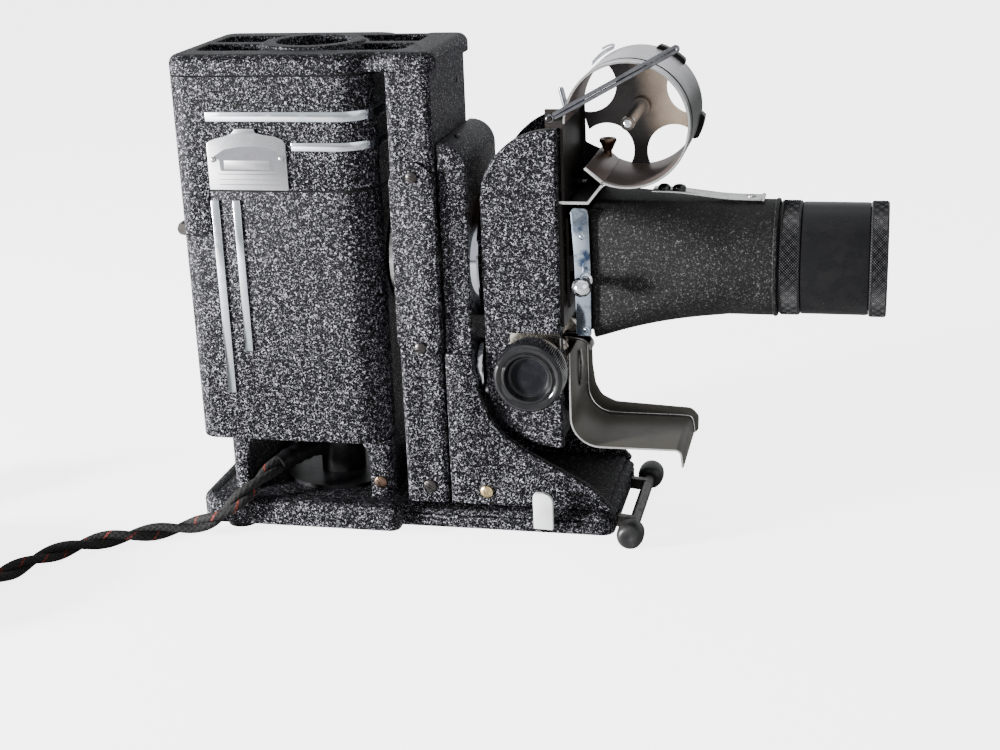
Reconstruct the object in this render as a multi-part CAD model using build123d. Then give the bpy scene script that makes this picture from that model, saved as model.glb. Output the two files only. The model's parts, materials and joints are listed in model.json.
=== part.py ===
from build123d import *
import math
import os

os.makedirs("parts", exist_ok=True)

# Clearances
run_gap = 0.05
seat_gap = 0.3
swing_gap = 0.6

# Base casting
deck_left = -85.0
deck_step = -3.0
deck_right = 80.0
deck_half = 38.0
nose_half = 31.0
foot_height = 4.0
rim_top = 11.0
deck_top = 14.5
pocket_depth = 0.5
nose_low_top = 9.2
groove_height = 0.8
groove_depth = 0.9
nose_top = 13.0
deck_wall = 3.0
deck_sheet = 2.2
deck_corner = 9.0
pad_radius = 6.0
pad_x = -71.0
pad_y = 27.0

# Tilting front foot
tilt_x = 54.0
tilt_z = 8.4
tilt_shaft_radius = 1.6
bar_x = 86.5
bar_z = 5.2
bar_radius = 2.2
bar_half = 25.0
ball_radius = 5.2
ball_length = 10.0
arm_y = 19.0
arm_width = 3.0
arm_height = 4.4
tab_width = 8.4
tab_top = 22.6
tab_thick = 2.2
tab_stand_off = 3.4

# Lamp axis and lamp
lamp_x = -36.0
light_z = 107.0
bulb_radius = 14.0
bulb_reach = 51.0
bulb_top = light_z + bulb_reach
collar_z = 51.4
glass_wall = 1.0

# Lamp stand
stand_left = -73.5
stand_right = -7.5
stand_half = 28.0
stand_top = 37.8
stand_wall = 3.2
stand_rail = 1.7

# Socket
flange_radius = 23.0
tube_radius = 9.0
cup_radius = 17.0
cup_bottom = 34.0

# Lamphouse
house_left = -84.0
house_right = -7.0
house_half = 32.5
house_wall = 1.8
corner_left = 7.5
corner_right = 13.0
bulb_room = 21.5
hood_depth = 42.5
skirt_depth = 17.6
shell_top = bulb_top + bulb_room
seam_z = shell_top - hood_depth
low_seam_z = seam_z - skirt_depth
seam_x = -70.0
light_hole_radius = 19.0
pin_out = 3.3
pin_x = house_left - pin_out
pin_z = low_seam_z - 0.4
pin_radius = 1.5
knuckle_radius = 2.8
knuckle_half = 14.0
knuckle_out = 20.0

# Cap casting
cap_height = 7.5
cap_roof = 4.1
cap_top = shell_top + cap_height
cap_overhang = 2.3
cap_ring_outer = 21.0
cap_ring_inner = 14.3
slot_half = 20.0
slot_left = house_left + 7.0
slot_rib = 6.0

# Trim and nameplate
trim_thick = 0.8
trim_inset = 14.2
name_width = 30.9
name_height = 18.0
name_left = house_left + trim_inset + 0.3
name_right = name_left + name_width
name_low = seam_z + 0.4
name_shoulder = name_low + name_height

# Column, bracket and swivel
column_gap = 5.5
column_depth = 16.8
column_left = house_right + column_gap
column_right = column_left + column_depth
column_half = 28.0
column_top = shell_top + 0.5
column_wall = 3.0
strap_below = 35.2
strap_above = 40.6
strap_low = light_z - strap_below
strap_high = light_z + strap_above
strap_thick = 1.2
bracket_depth = 10.4
bracket_above = 46.8
bracket_left = column_right + 1.0
bracket_right = bracket_left + bracket_depth
bracket_half = 26.0
bracket_top = light_z + bracket_above
hub_radius = 20.0
hub_wall = 2.5
ring_radius = 24.7
ring_depth = 3.1
ring_right = bracket_right + ring_depth

# Projection head
head_depth = 29.2
head_below = 71.0
head_above = 51.4
head_left = ring_right + 1.0
head_face = head_left + head_depth
head_low = light_z - head_below
head_top = light_z + head_above
head_corner = 27.3
head_half = 23.0
plate_thick = 3.8
body_inset = 3.2
knob_inset = 9.3
knob_below = 37.2
knob_x = head_face - knob_inset
knob_z = light_z - knob_below
knob_radius = 13.2
knob_length = 12.0
knob_back = -head_half - 3.0
knob_near = knob_back - knob_length
shaft_radius = 2.5
sprocket_radius = 10.3
tooth_height = 1.0
track_y = 14.1

# Film gate
plate_sheet = 1.2
gate_half = 21.0
gate_below = 23.0
gate_above = 23.6
gate_low = light_z - gate_below
gate_lip = light_z + gate_above
arm_low = gate_low - 3.5
arm_high = gate_lip - 1.3
arm_pivot_x = head_face + 8.0
arm_pivot_z = gate_low
stud_x = head_face + 8.8
stud_z = light_z - 6.0
arm_sheet = 1.2
arm_inner = -19.0

# Film drum and its bail
drum_radius = 23.0
drum_half = 21.0
drum_sheet = 1.0
drum_out = 2.2
drum_lift = 6.0
drum_x = head_face + drum_out + drum_radius
drum_z = gate_lip + drum_lift + drum_radius
drum_hole_radius = 10.4
drum_hole_reach = 21.4
bail_x = head_face - 1.5
bail_z = head_top + 4.4
bail_end_x = drum_x + 18.7
bail_end_z = drum_z + 27.8
bail_wire = 1.0
bail_pin = 1.5
bail_y = -24.8

# Take-up chute
chute_sheet = 1.0
chute_half = 19.0
chute_length = 41.8
chute_fall = 7.3
chute_x = head_face + 2.7
chute_high = light_z - 34.0
chute_floor = head_low
chute_end = chute_x + chute_length
chute_lip = chute_floor - chute_fall
chute_bend = 11.0

# Lens housing and lens
gate_depth = 12.4
mouth_below = 30.9
mouth_above = 23.8
mouth_x = head_face + plate_sheet + gate_depth
mouth_low = light_z - mouth_below
mouth_high = light_z + mouth_above
mouth_half = 18.0
housing_length = 65.4
housing_end = mouth_x + housing_length
housing_radius = 21.5
housing_wall = 2.4
lens_radius = 19.0
lens_tail_length = 27.0
rear_ring_width = 7.6
smooth_length = 24.6
front_ring_width = 6.4
lens_tail = housing_end - lens_tail_length
ring_a = housing_end + 0.5
ring_b = ring_a + rear_ring_width
tube_end = ring_b + smooth_length
lens_end = tube_end + front_ring_width
smooth_radius = 20.7
knurl_radius = 21.2

# Mains cord
cord_radius = 3.5


def box(x0, x1, y0, y1, z0, z1):
    return Pos((x0 + x1) / 2, (y0 + y1) / 2, (z0 + z1) / 2) * Box(
        abs(x1 - x0), abs(y1 - y0), abs(z1 - z0)
    )


def rod_x(y, z, radius, x0, x1):
    return Pos((x0 + x1) / 2, y, z) * Rot(0, 90, 0) * Cylinder(radius, abs(x1 - x0))


def rod_y(x, z, radius, y0, y1):
    return Pos(x, (y0 + y1) / 2, z) * Rot(90, 0, 0) * Cylinder(radius, abs(y1 - y0))


def rod_z(x, y, radius, z0, z1):
    return Pos(x, y, (z0 + z1) / 2) * Cylinder(radius, abs(z1 - z0))


def slab(face, y0, y1):
    """A flat outline drawn in X and Z, made solid between two Y values."""
    return Pos(0, y1, 0) * extrude(Plane.XZ * face, amount=y1 - y0)


def outline(points):
    return make_face(Polyline(*points, close=True))


def house_outline(grow):
    """The lamphouse plan, with smaller corners at the rear than at the front."""
    left = house_left - grow
    right = house_right + grow
    half = house_half + grow
    a = corner_left + grow
    b = corner_right + grow
    lines = [
        Line((left + a, -half), (right - b, -half)),
        RadiusArc((right - b, -half), (right, -half + b), -b),
        Line((right, -half + b), (right, half - b)),
        RadiusArc((right, half - b), (right - b, half), -b),
        Line((right - b, half), (left + a, half)),
        RadiusArc((left + a, half), (left, half - a), -a),
        Line((left, half - a), (left, -half + a)),
        RadiusArc((left, -half + a), (left + a, -half), -a),
    ]
    return make_face(lines)


def plan_slab(face, z0, z1):
    return Pos(0, 0, z0) * extrude(face, amount=z1 - z0)


def arc_points(x, z, radius, start, stop, count):
    """Points on a circle in X and Z, angles in degrees from +X towards +Z."""
    found = []
    for n in range(count + 1):
        angle = math.radians(start + (stop - start) * n / count)
        found.append((x + radius * math.cos(angle), z + radius * math.sin(angle)))
    return found


def screw_y(x, y, z, head_radius, head_height, turn):
    """A slotted round head on a near face at y, with its shank in the metal behind."""
    head = rod_y(x, z, head_radius, y - head_height, y)
    head = fillet(head.edges().filter_by(GeomType.CIRCLE).group_by(Axis.Y)[0], head_height * 0.55)
    slot = Pos(x, y - head_height, z) * Rot(0, turn, 0) * Box(head_radius * 3, 0.9, 0.7)
    return head - slot + rod_y(x, z, head_radius * 0.5, y, y + 3)


def screw_hole_y(x, y, z, head_radius):
    return rod_y(x, z, head_radius * 0.5 + run_gap, y - 1, y + 3.2)


parts = {}

# Base casting
rim = RectangleRounded(deck_step - deck_left + 14, 2 * deck_half, deck_corner)
rear = Pos((deck_left + deck_step + 14) / 2, 0, 0) * rim
rear = plan_slab(rear, foot_height, deck_top)
rear = rear - box(deck_step, deck_step + 30, -60, 60, 0, 30)
step = rear.edges().filter_by(Axis.Z).group_by(Axis.X)[-1]
rear = fillet(step, 4.0)
rear = fillet(rear.faces().sort_by(Axis.Z)[-1].edges(), deck_top - rim_top - 0.2)
low = plan_slab(
    Pos((deck_step - 20 + deck_right) / 2, 0) * RectangleRounded(deck_right - deck_step + 20, 2 * nose_half, 5),
    foot_height,
    nose_low_top,
)
inner_half = nose_half - groove_depth
groove = plan_slab(
    Pos((deck_step - 20 + deck_right - groove_depth) / 2, 0)
    * RectangleRounded(deck_right - groove_depth - deck_step + 20, 2 * inner_half, 4),
    nose_low_top,
    nose_low_top + groove_height,
)
upper = plan_slab(
    Pos((deck_step - 20 + deck_right) / 2, 0) * RectangleRounded(deck_right - deck_step + 20, 2 * nose_half, 5),
    nose_low_top + groove_height,
    nose_top,
)
upper = chamfer(
    upper.faces().sort_by(Axis.Z)[-1].edges(), nose_top - nose_low_top - groove_height - 0.6, 2.6
)
base = rear + low + groove + upper
base = base - box(
    deck_left + deck_wall,
    deck_step - 2,
    -deck_half + deck_wall,
    deck_half - deck_wall,
    0,
    deck_top - deck_wall - pocket_depth,
)
base = base - box(
    deck_step - 10,
    deck_right - deck_wall,
    -nose_half + deck_wall,
    nose_half - deck_wall,
    0,
    nose_top - deck_sheet + 0.2,
)
for side in (-1, 1):
    base = base + rod_z(pad_x, side * pad_y, pad_radius + 1, foot_height, deck_top - deck_wall)
    notch = side * arm_y
    base = base - box(deck_right - 5, deck_right + 5, notch - 3, notch + 3, 0, nose_low_top)
base = base - box(
    stand_left - 6, stand_right + 2.5, -stand_half - 2.5, stand_half + 2.5, deck_top - pocket_depth, 40
)
base = base - rod_y(tilt_x, tilt_z, tilt_shaft_radius + run_gap, -nose_half - 5, nose_half + 5)
parts["base_casting"] = base
stand_floor = deck_top - pocket_depth

pads = []
for side in (-1, 1):
    pads.append(rod_z(pad_x, side * pad_y, pad_radius, 0, foot_height))
parts["base_pads"] = Compound(children=pads)

# Tilting front foot
tab_near = -nose_half - tab_stand_off - tab_thick
bar = rod_y(tilt_x, tilt_z, tilt_shaft_radius, tab_near + tab_thick, nose_half + 2)
bar = bar + rod_y(bar_x, bar_z, bar_radius, -bar_half - ball_length * 0.7, bar_half + ball_length * 0.7)
slope = math.atan2(tilt_z - bar_z, bar_x - tilt_x)
reach = math.hypot(tilt_z - bar_z, bar_x - tilt_x)
for side in (-1, 1):
    arm = Box(reach, arm_width, arm_height)
    arm = Rot(0, math.degrees(slope), 0) * arm
    arm = Pos((tilt_x + bar_x) / 2, side * arm_y, (tilt_z + bar_z) / 2) * arm
    bar = bar + arm + rod_y(tilt_x, tilt_z, 2.3, side * arm_y - 1.5, side * arm_y + 1.5)
parts["tilt_foot_bar"] = bar

balls = []
for side in (-1, 1):
    middle = side * (bar_half + ball_length / 2)
    barrel = rod_y(bar_x, bar_z, ball_radius, middle - ball_length / 2, middle + ball_length / 2)
    barrel = fillet(barrel.edges().filter_by(GeomType.CIRCLE), 3.4)
    hole_in = side * bar_half - 1 if side > 0 else side * (bar_half + ball_length * 0.7 + run_gap)
    hole_out = side * (bar_half + ball_length * 0.7 + run_gap) if side > 0 else side * bar_half + 1
    balls.append(barrel - rod_y(bar_x, bar_z, bar_radius + run_gap, hole_in, hole_out))
parts["tilt_foot_ends"] = Compound(children=balls)

tab_low = tilt_z - 2.4
tab = box(
    tilt_x - tab_width / 2,
    tilt_x + tab_width / 2,
    tab_near,
    tab_near + tab_thick,
    tab_low,
    tab_top,
)
tab = fillet(tab.edges().filter_by(Axis.Y).group_by(Axis.Z)[-1], tab_width * 0.46)
tab = fillet(tab.edges().filter_by(Axis.Y).group_by(Axis.Z)[0], 1.0)
parts["tilt_tab"] = tab

# Lamp stand
stand = box(stand_left, stand_right, -stand_half, stand_half, stand_floor, stand_top)
stand = fillet(stand.edges().filter_by(Axis.Z), 4.0)
stand = stand - box(
    stand_left + stand_wall,
    stand_right - stand_wall,
    -stand_half + stand_wall,
    stand_half - stand_wall,
    0,
    60,
)
arch = outline(
    [
        (stand_left + 6.5, stand_floor - 1),
        (stand_left + 7.1, stand_top - stand_rail - 6.1),
        (stand_left + 9.5, stand_top - stand_rail),
        (stand_right - 11.5, stand_top - stand_rail),
        (stand_right - 9.5, stand_top - stand_rail - 2.2),
        (stand_right - 8.6, stand_top - stand_rail - 6),
        (stand_right - 8.5, stand_floor - 1),
    ]
)
stand = stand - slab(arch, -60, 60)
stand_screw = (stand_right - 4.5, -stand_half, stand_floor + 6.5)
stand = stand - screw_hole_y(*stand_screw, 2.6)
parts["lamp_stand"] = stand

# Socket and lamp
column = rod_z(lamp_x, 0, flange_radius, stand_floor, stand_floor + 1.6)
column = column + rod_z(lamp_x, 0, tube_radius, stand_floor + 1.6, cup_bottom)
parts["socket_column"] = column

cup = rod_z(lamp_x, 0, cup_radius, cup_bottom, collar_z - 1.4)
cup = fillet(cup.edges().filter_by(GeomType.CIRCLE).group_by(Axis.Z)[0], 2.0)
cup = cup - rod_z(lamp_x, 0, 13.0, cup_bottom + 4, collar_z)
for turn in range(3):
    angle = math.radians(30 + 120 * turn)
    finger = Pos(lamp_x + 16.0 * math.cos(angle), 16.0 * math.sin(angle), collar_z + 0.2)
    finger = finger * Rot(0, 0, math.degrees(angle)) * Box(1.2, 5, 3.6)
    cup = cup + finger
parts["lamp_socket"] = cup

cap = rod_z(lamp_x, 0, 12.6, cup_bottom + 4, collar_z)
cap = cap + rod_z(lamp_x, 0, 15.0, collar_z - 1.4, collar_z)
cap = cap - rod_z(lamp_x, 0, 11.0, cup_bottom + 6, collar_z + 1)
parts["lamp_base"] = cap

bulb = rod_z(lamp_x, 0, bulb_radius, collar_z, bulb_top)
bulb = fillet(bulb.edges().filter_by(GeomType.CIRCLE).group_by(Axis.Z)[-1], bulb_radius - 0.6)
hollow = rod_z(lamp_x, 0, bulb_radius - glass_wall, collar_z - 1, bulb_top - glass_wall)
hollow = fillet(
    hollow.edges().filter_by(GeomType.CIRCLE).group_by(Axis.Z)[-1], bulb_radius - glass_wall - 0.6
)
parts["lamp_bulb"] = bulb - hollow

coil_half = 4.5
stem = rod_z(lamp_x, 0, 4.0, cup_bottom + 6, 74.0)
for side in (-1, 1):
    stem = stem + rod_z(lamp_x, side * (coil_half + 2.5), 0.6, 72.0, light_z + 9)
    stem = stem + box(lamp_x - 0.6, lamp_x + 0.6, side, side * (coil_half + 3), 70, 73)
stem = stem + box(
    lamp_x - 0.5, lamp_x + 0.5, -coil_half - 2.5, coil_half + 2.5, light_z + 7.4, light_z + 8.4
)
stem = stem + box(
    lamp_x - 0.5, lamp_x + 0.5, -coil_half - 2.5, coil_half + 2.5, light_z - 8.4, light_z - 7.4
)
for step_n in range(4):
    y = -coil_half + step_n * 3
    stem = stem + rod_z(lamp_x, y, 0.9, light_z - 7.6, light_z + 7.6)
parts["lamp_filament"] = stem

dish_ball = 31.0
dish_thick = 1.4
dish_middle = lamp_x + 2.0
dish = Pos(dish_middle - dish_ball + 1.0, 0, light_z) * Rot(0, 90, 0) * Cylinder(17.0, 8.0)
dish = dish - Pos(dish_middle, 0, light_z) * Sphere(dish_ball)
dish = dish & (Pos(dish_middle, 0, light_z) * Sphere(dish_ball + dish_thick))
dish_back = dish_middle - dish_ball - dish_thick
arm_bottom = light_z - 8
bracket = box(house_left + house_wall, house_left + house_wall + 1.5, -6, 6, arm_bottom, low_seam_z - 3)
bracket = bracket + box(house_left + house_wall, dish_back + 0.4, -3, 3, light_z - 2, light_z + 2)
bracket = bracket - (Pos(dish_middle, 0, light_z) * Sphere(dish_ball + dish_thick))
parts["lamp_reflector"] = Compound(children=[dish.solids()[0], bracket.solids()[0]])

# Lamphouse shell, the fixed lower part
house = plan_slab(house_outline(0), stand_top, seam_z)
house = house - plan_slab(house_outline(-house_wall), stand_top + house_wall, seam_z + 1)
house = house - box(house_left - 1, seam_x, -60, 60, low_seam_z, seam_z + 1)
house = house - box(stand_left + 4.2, stand_right - 4.2, -stand_half + 4.2, stand_half - 4.2, 0, 45)
house = house - rod_x(0, light_z, light_hole_radius, house_right - 8, house_right + 3)
leaf = box(house_left - 1.4, house_left, -knuckle_out, knuckle_out, pin_z - 15.0, pin_z - 4.0)
for side in (-1, 1):
    inner = side * (knuckle_half + 0.2)
    outer = side * knuckle_out
    low_y = min(inner, outer)
    high_y = max(inner, outer)
    leaf = leaf + rod_y(pin_x, pin_z, knuckle_radius, low_y, high_y)
    leaf = leaf + box(house_left - 1.4, house_left, low_y, high_y, pin_z - 5, pin_z)
    leaf = leaf + box(pin_x, house_left, low_y, high_y, pin_z - 2.4, pin_z)
leaf = leaf - rod_y(pin_x, pin_z, pin_radius + run_gap, -60, 60)
parts["lamphouse_shell"] = house + leaf

# Hood shell, the upper part that tips back on its pin
hood = plan_slab(house_outline(0), low_seam_z, shell_top)
hood = hood - plan_slab(house_outline(-house_wall), low_seam_z - 1, shell_top + 1)
hood = hood - box(seam_x - seat_gap, house_right + 5, -60, 60, low_seam_z - 1, seam_z)
moving = box(house_left - 1.4, house_left, -knuckle_half, knuckle_half, pin_z, pin_z + 14.0)
moving = moving + rod_y(pin_x, pin_z, knuckle_radius, -knuckle_half, knuckle_half)
moving = moving + box(pin_x, house_left - 0.7, -knuckle_half, knuckle_half, pin_z, pin_z + 2.4)
moving = moving - box(house_left - 0.02, house_left + 5, -60, 60, pin_z - 6, low_seam_z)
moving = moving - rod_y(pin_x, pin_z, pin_radius + run_gap, -60, 60)
parts["hood_shell"] = hood + moving

pin = rod_y(pin_x, pin_z, pin_radius, -knuckle_out - 1.2, knuckle_out + 1.2)
for side in (-1, 1):
    near = min(side * (knuckle_out + 0.1), side * (knuckle_out + 1.4))
    pin = pin + rod_y(pin_x, pin_z, 2.2, near, near + 1.3)
parts["hinge_pin"] = pin

# Cap casting
cap_plan = plan_slab(house_outline(0), shell_top, cap_top)
over = plan_slab(
    Pos((column_left + 0.5 + column_right + cap_overhang) / 2, 0)
    * RectangleRounded(column_right + cap_overhang - column_left - 0.5, 2 * column_half + 3, 5.5),
    column_top + 0.2,
    cap_top,
)
neck = box(
    house_right - 14,
    column_left + 6.5,
    -column_half + 0.5,
    column_half - 0.5,
    column_top + 0.2,
    cap_top,
)
neck = neck - box(house_right - 15, house_right - 2, -60, 60, 0, shell_top + 0.01)
cover = cap_plan + over + neck
cover = fillet(cover.faces().sort_by(Axis.Z)[-1].edges(), 3.6)
cover = cover - plan_slab(house_outline(-house_wall - 1.6), shell_top - 1, cap_top - cap_roof)
slot_right = column_left + 5.5
opening = plan_slab(
    Pos((slot_left + slot_right) / 2, 0) * RectangleRounded(slot_right - slot_left, 2 * slot_half, 5),
    shell_top - 2,
    cap_top + 2,
)
keep = rod_z(lamp_x, 0, cap_ring_outer, shell_top, cap_top + 2)
keep = keep + box(slot_left - 1, slot_right + 1, -slot_rib / 2, slot_rib / 2, shell_top, cap_top + 2)
cover = cover - (opening - keep)
ring = rod_z(lamp_x, 0, cap_ring_outer - 1.5, cap_top - 1, cap_top + 1)
ring = fillet(ring.edges().filter_by(GeomType.CIRCLE).group_by(Axis.Z)[-1], 0.8)
cover = cover + ring
cover = cover - rod_z(lamp_x, 0, cap_ring_inner, shell_top - 2, cap_top + 3)
parts["hood_cap"] = cover

baffle_half = house_half - 8.5
baffle_z = shell_top - 11.5
baffle = box(house_left + 8, house_right - 7, -baffle_half, baffle_half, baffle_z, baffle_z + 1)
for side in (-1, 1):
    hanger = side * baffle_half
    baffle = baffle + box(
        lamp_x - 14, lamp_x + 14, hanger - 0.5, hanger + 0.5, baffle_z, cap_top - cap_roof
    )
parts["hood_baffle"] = baffle

# Bright trim
bands = []
for start_x, bottom, height in ((15.0, shell_top - 16.6, 3.7), (47.5, shell_top - 27.4, 3.2)):
    band = plan_slab(house_outline(trim_thick), bottom, bottom + height)
    band = band - plan_slab(house_outline(0), bottom - 1, bottom + height + 1)
    bands.append(band - box(-200, house_left + start_x, -60, 60, bottom - 1, bottom + height + 1))
parts["hood_trim"] = Compound(children=bands)

strips = []
for side in (-1, 1):
    low_y = min(side * house_half, side * (house_half + trim_thick))
    for left, width, bottom in ((trim_inset, 3.2, 19.4), (trim_inset + 8.6, 3.0, 36.5)):
        left = house_left + left
        strips.append(box(left, left + width, low_y, low_y + trim_thick, stand_top + bottom, seam_z - 3.5))
parts["shell_trim"] = Compound(children=strips)

middle = (name_left + name_right) / 2
plate_points = [
    (name_left, name_low),
    (name_right, name_low),
    (name_right, name_shoulder - 3),
    (name_right - 1.6, name_shoulder),
    (name_right - 5.5, name_shoulder + 1.6),
    (middle + 3.7, name_shoulder + 2.4),
    (middle + 3.5, name_shoulder + 5),
    (middle - 3.5, name_shoulder + 5),
    (middle - 3.7, name_shoulder + 2.4),
    (name_left + 5.5, name_shoulder + 1.6),
    (name_left + 1.6, name_shoulder),
    (name_left, name_shoulder - 3),
]
plate = slab(outline(plate_points), -house_half - trim_thick, -house_half)
parts["nameplate"] = plate

rivets = []
for x, z in ((name_left + 2.2, name_low + 11.4), (name_right - 2.1, name_low + 12.0)):
    rivets.append(rod_y(x, z, 1.1, -house_half - trim_thick - 0.8, -house_half - trim_thick))
parts["nameplate_rivets"] = Compound(children=rivets)

# Condenser column, open towards the lamp
post = box(column_left, column_right, -column_half, column_half, nose_top, column_top)
post = fillet(post.edges().filter_by(Axis.Z), 2.5)
post = post - box(
    column_left - 1,
    column_right - column_wall,
    -column_half + column_wall,
    column_half - column_wall,
    nose_top + column_wall,
    column_top - column_wall,
)
post = post - box(column_left - 4, column_right - 6, -24, 24, column_top - 10, column_top + 5)
barrel_radius = hub_radius
post = post - rod_x(0, light_z, barrel_radius + run_gap, column_left, column_right + 2)
strap_x = (column_left + column_right) / 2 + 0.5
foot_screw = (strap_x + 0.6, -column_half, nose_top + 6.9)
strap_screw_a = (strap_x, -column_half - strap_thick, strap_high - 5.6)
strap_screw_b = (strap_x, -column_half - strap_thick, strap_low + 4.8)
post = post - screw_hole_y(*foot_screw, 2.6)
for spot in (strap_screw_a, strap_screw_b):
    post = post - rod_y(spot[0], spot[2], 1.1 + run_gap, -column_half - 1, -column_half + 2.2)
parts["condenser_column"] = post

strap = box(column_left, column_right, -column_half - strap_thick, -column_half, strap_low, strap_high)
strap = fillet(strap.edges().filter_by(Axis.Y), (column_right - column_left) / 2 - 0.1)
for spot in (strap_screw_a, strap_screw_b):
    strap = strap - rod_y(spot[0], spot[2], 1.1 + run_gap, -60, 0)
parts["column_strap"] = strap

# Swivel bracket, one casting with its long foot
mast = box(bracket_left, bracket_right, -bracket_half, bracket_half, nose_top, bracket_top)
mast = fillet(mast.edges().filter_by(Axis.Y).group_by(Axis.Z)[-1].sort_by(Axis.X)[-1], 9.0)
mast = mast - rod_x(0, light_z, hub_radius + run_gap, 0, 60)
foot_curve = [
    (bracket_left, nose_top),
    (deck_right - 1, nose_top),
    (deck_right - 1, nose_top + 1.2),
    (deck_right - 7.5, nose_top + 8),
    (deck_right - 13.6, nose_top + 12),
    (deck_right - 25.1, nose_top + 18),
    (bracket_right + 18.6, nose_top + 23.6),
    (bracket_right + 10.2, nose_top + 29.8),
    (bracket_right + 5.8, nose_top + 35.6),
    (bracket_right + 2.7, nose_top + 44),
    (bracket_right, nose_top + 57),
    (bracket_right, nose_top + 61),
    (bracket_left, nose_top + 61),
]
foot_sheet = 3.4
for side in (-1, 1):
    low_y = min(side * (column_half - foot_sheet), side * column_half)
    mast = mast + slab(outline(foot_curve), low_y, low_y + foot_sheet)
foot_floor = column_half - foot_sheet + 0.4
mast = mast + box(bracket_left, deck_right - 3, -foot_floor, foot_floor, nose_top, nose_top + 2.5)
bracket_screw = (bracket_right + 3.8, -column_half, nose_top + 5.7)
mast = mast - screw_hole_y(*bracket_screw, 2.6)
lock_y = -12.0
lock_z = light_z - 42.5
mast = mast - rod_x(lock_y, lock_z, 3.0 + run_gap, bracket_right - 8, bracket_right + 3)
parts["swivel_bracket"] = mast

screws = [
    screw_y(*stand_screw, 2.6, 1.1, 35),
    screw_y(*foot_screw, 2.6, 1.1, 60),
    screw_y(*bracket_screw, 2.6, 1.4, 20),
    screw_y(*strap_screw_a, 2.2, 1.1, 70),
    screw_y(*strap_screw_b, 2.2, 1.1, -75),
    rod_z(bracket_left + 4.2, -10, 1.1, bracket_top, bracket_top + 0.6),
    rod_x(-15.5, bracket_top - 10.8, 1.0, bracket_right, bracket_right + 0.2),
    rod_x(14.0, column_top - 9, 1.2, column_right, column_right + 0.6),
]
parts["case_screws"] = Compound(children=screws)

# Condenser
barrel = rod_x(0, light_z, barrel_radius, house_right + 1.4, column_right + 0.5)
barrel = barrel - rod_x(0, light_z, barrel_radius - 1.6, -10, 30)
barrel = barrel + rod_x(0, light_z, barrel_radius + 2.5, column_right - column_wall - 2, column_right - column_wall)
barrel = barrel - rod_x(0, light_z, barrel_radius - 1.6, -10, 30)
parts["condenser_barrel"] = barrel



def lens_disc(flat_x, edge, radius, ball, side):
    """A plano-convex glass on the optical axis, flat at flat_x and domed towards side."""
    sag = ball - math.sqrt(ball**2 - radius**2)
    rim = flat_x + side * edge
    tip = rim + side * sag
    middle = ball - math.sqrt(ball**2 - (radius / 2) ** 2)
    half = make_face(
        [
            Line((flat_x, 0), (flat_x, radius)),
            Line((flat_x, radius), (rim, radius)),
            ThreePointArc((rim, radius), (tip - side * middle, radius / 2), (tip, 0)),
            Line((tip, 0), (flat_x, 0)),
        ]
    )
    return Pos(0, 0, light_z) * revolve(Plane.XZ * half, Axis.X)


lenses = [
    lens_disc(column_left + 0.5, 2.0, barrel_radius - 1.65, 34.0, 1),
    lens_disc(column_right - 2.8, 2.0, barrel_radius - 1.65, 34.0, -1),
]
parts["condenser_lenses"] = Compound(children=lenses)

ring = rod_x(0, light_z, ring_radius, bracket_right, ring_right)
ring = chamfer(ring.edges().filter_by(GeomType.CIRCLE).group_by(Axis.X)[-1], 0.6)
ring = ring - rod_x(0, light_z, hub_radius + run_gap, 0, 60)
parts["swivel_ring"] = ring

wheel = rod_x(lock_y, lock_z, 11.5, bracket_right + seat_gap, ring_right)
wheel = chamfer(wheel.edges().filter_by(GeomType.CIRCLE), 0.5)
wheel = wheel + rod_x(lock_y, lock_z, 3.0, bracket_right - 7, bracket_right + 1)
parts["lock_wheel"] = wheel


# Projection head
def head_outline(inset):
    """The D-shaped side of the head, flat towards the lens."""
    radius = head_corner - inset
    left = head_left + inset
    low = head_low + inset
    high = head_top - inset
    lines = [
        Line((head_face, low), (head_face, high)),
        Line((head_face, high), (left + radius, high)),
        RadiusArc((left + radius, high), (left, high - radius), -radius),
        Line((left, high - radius), (left, low + radius)),
        RadiusArc((left, low + radius), (left + radius, low), -radius),
        Line((left + radius, low), (head_face, low)),
    ]
    return make_face(lines)


plate_in = head_half - plate_thick
block = slab(head_outline(body_inset), -plate_in, plate_in)
hub = rod_x(0, light_z, hub_radius, bracket_left + 1.2, head_left)
hub = hub + rod_x(0, light_z, plate_in - 0.1, head_left, head_left + body_inset + 3)
block = block + hub
block = block - rod_x(0, light_z, hub_radius - hub_wall, 0, 100)
block = block - rod_y(knob_x, knob_z, sprocket_radius + tooth_height + 1.6, -17.6, 17.6)
block = block - box(knob_x, head_face + 1, -17.6, 17.6, knob_z - 11.5, knob_z + 11.5)
block = block - box(head_left + 8.2, head_face + 1, -16, 16, gate_lip + 3.4, head_top + 10)
block = block - rod_y(knob_x, knob_z, shaft_radius + run_gap, -60, 60)
parts["head_body"] = block

for name, low_y in (("head_near_plate", -head_half), ("head_far_plate", plate_in)):
    side_plate = slab(head_outline(0), low_y, low_y + plate_thick)
    if low_y < 0:
        face = side_plate.faces().sort_by(Axis.Y)[0]
    else:
        face = side_plate.faces().sort_by(Axis.Y)[-1]
    side_plate = fillet(face.edges(), 1.2)
    side_plate = side_plate - rod_y(knob_x, knob_z, shaft_radius + run_gap, -60, 60)
    parts[name] = side_plate

# Sprocket and knob
shaft = rod_y(knob_x, knob_z, shaft_radius, knob_back - 8, head_half + 0.6)
shaft = shaft + rod_y(knob_x, knob_z, 4.6, head_half + seat_gap, head_half + 2.2)
parts["sprocket_shaft"] = shaft

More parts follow.
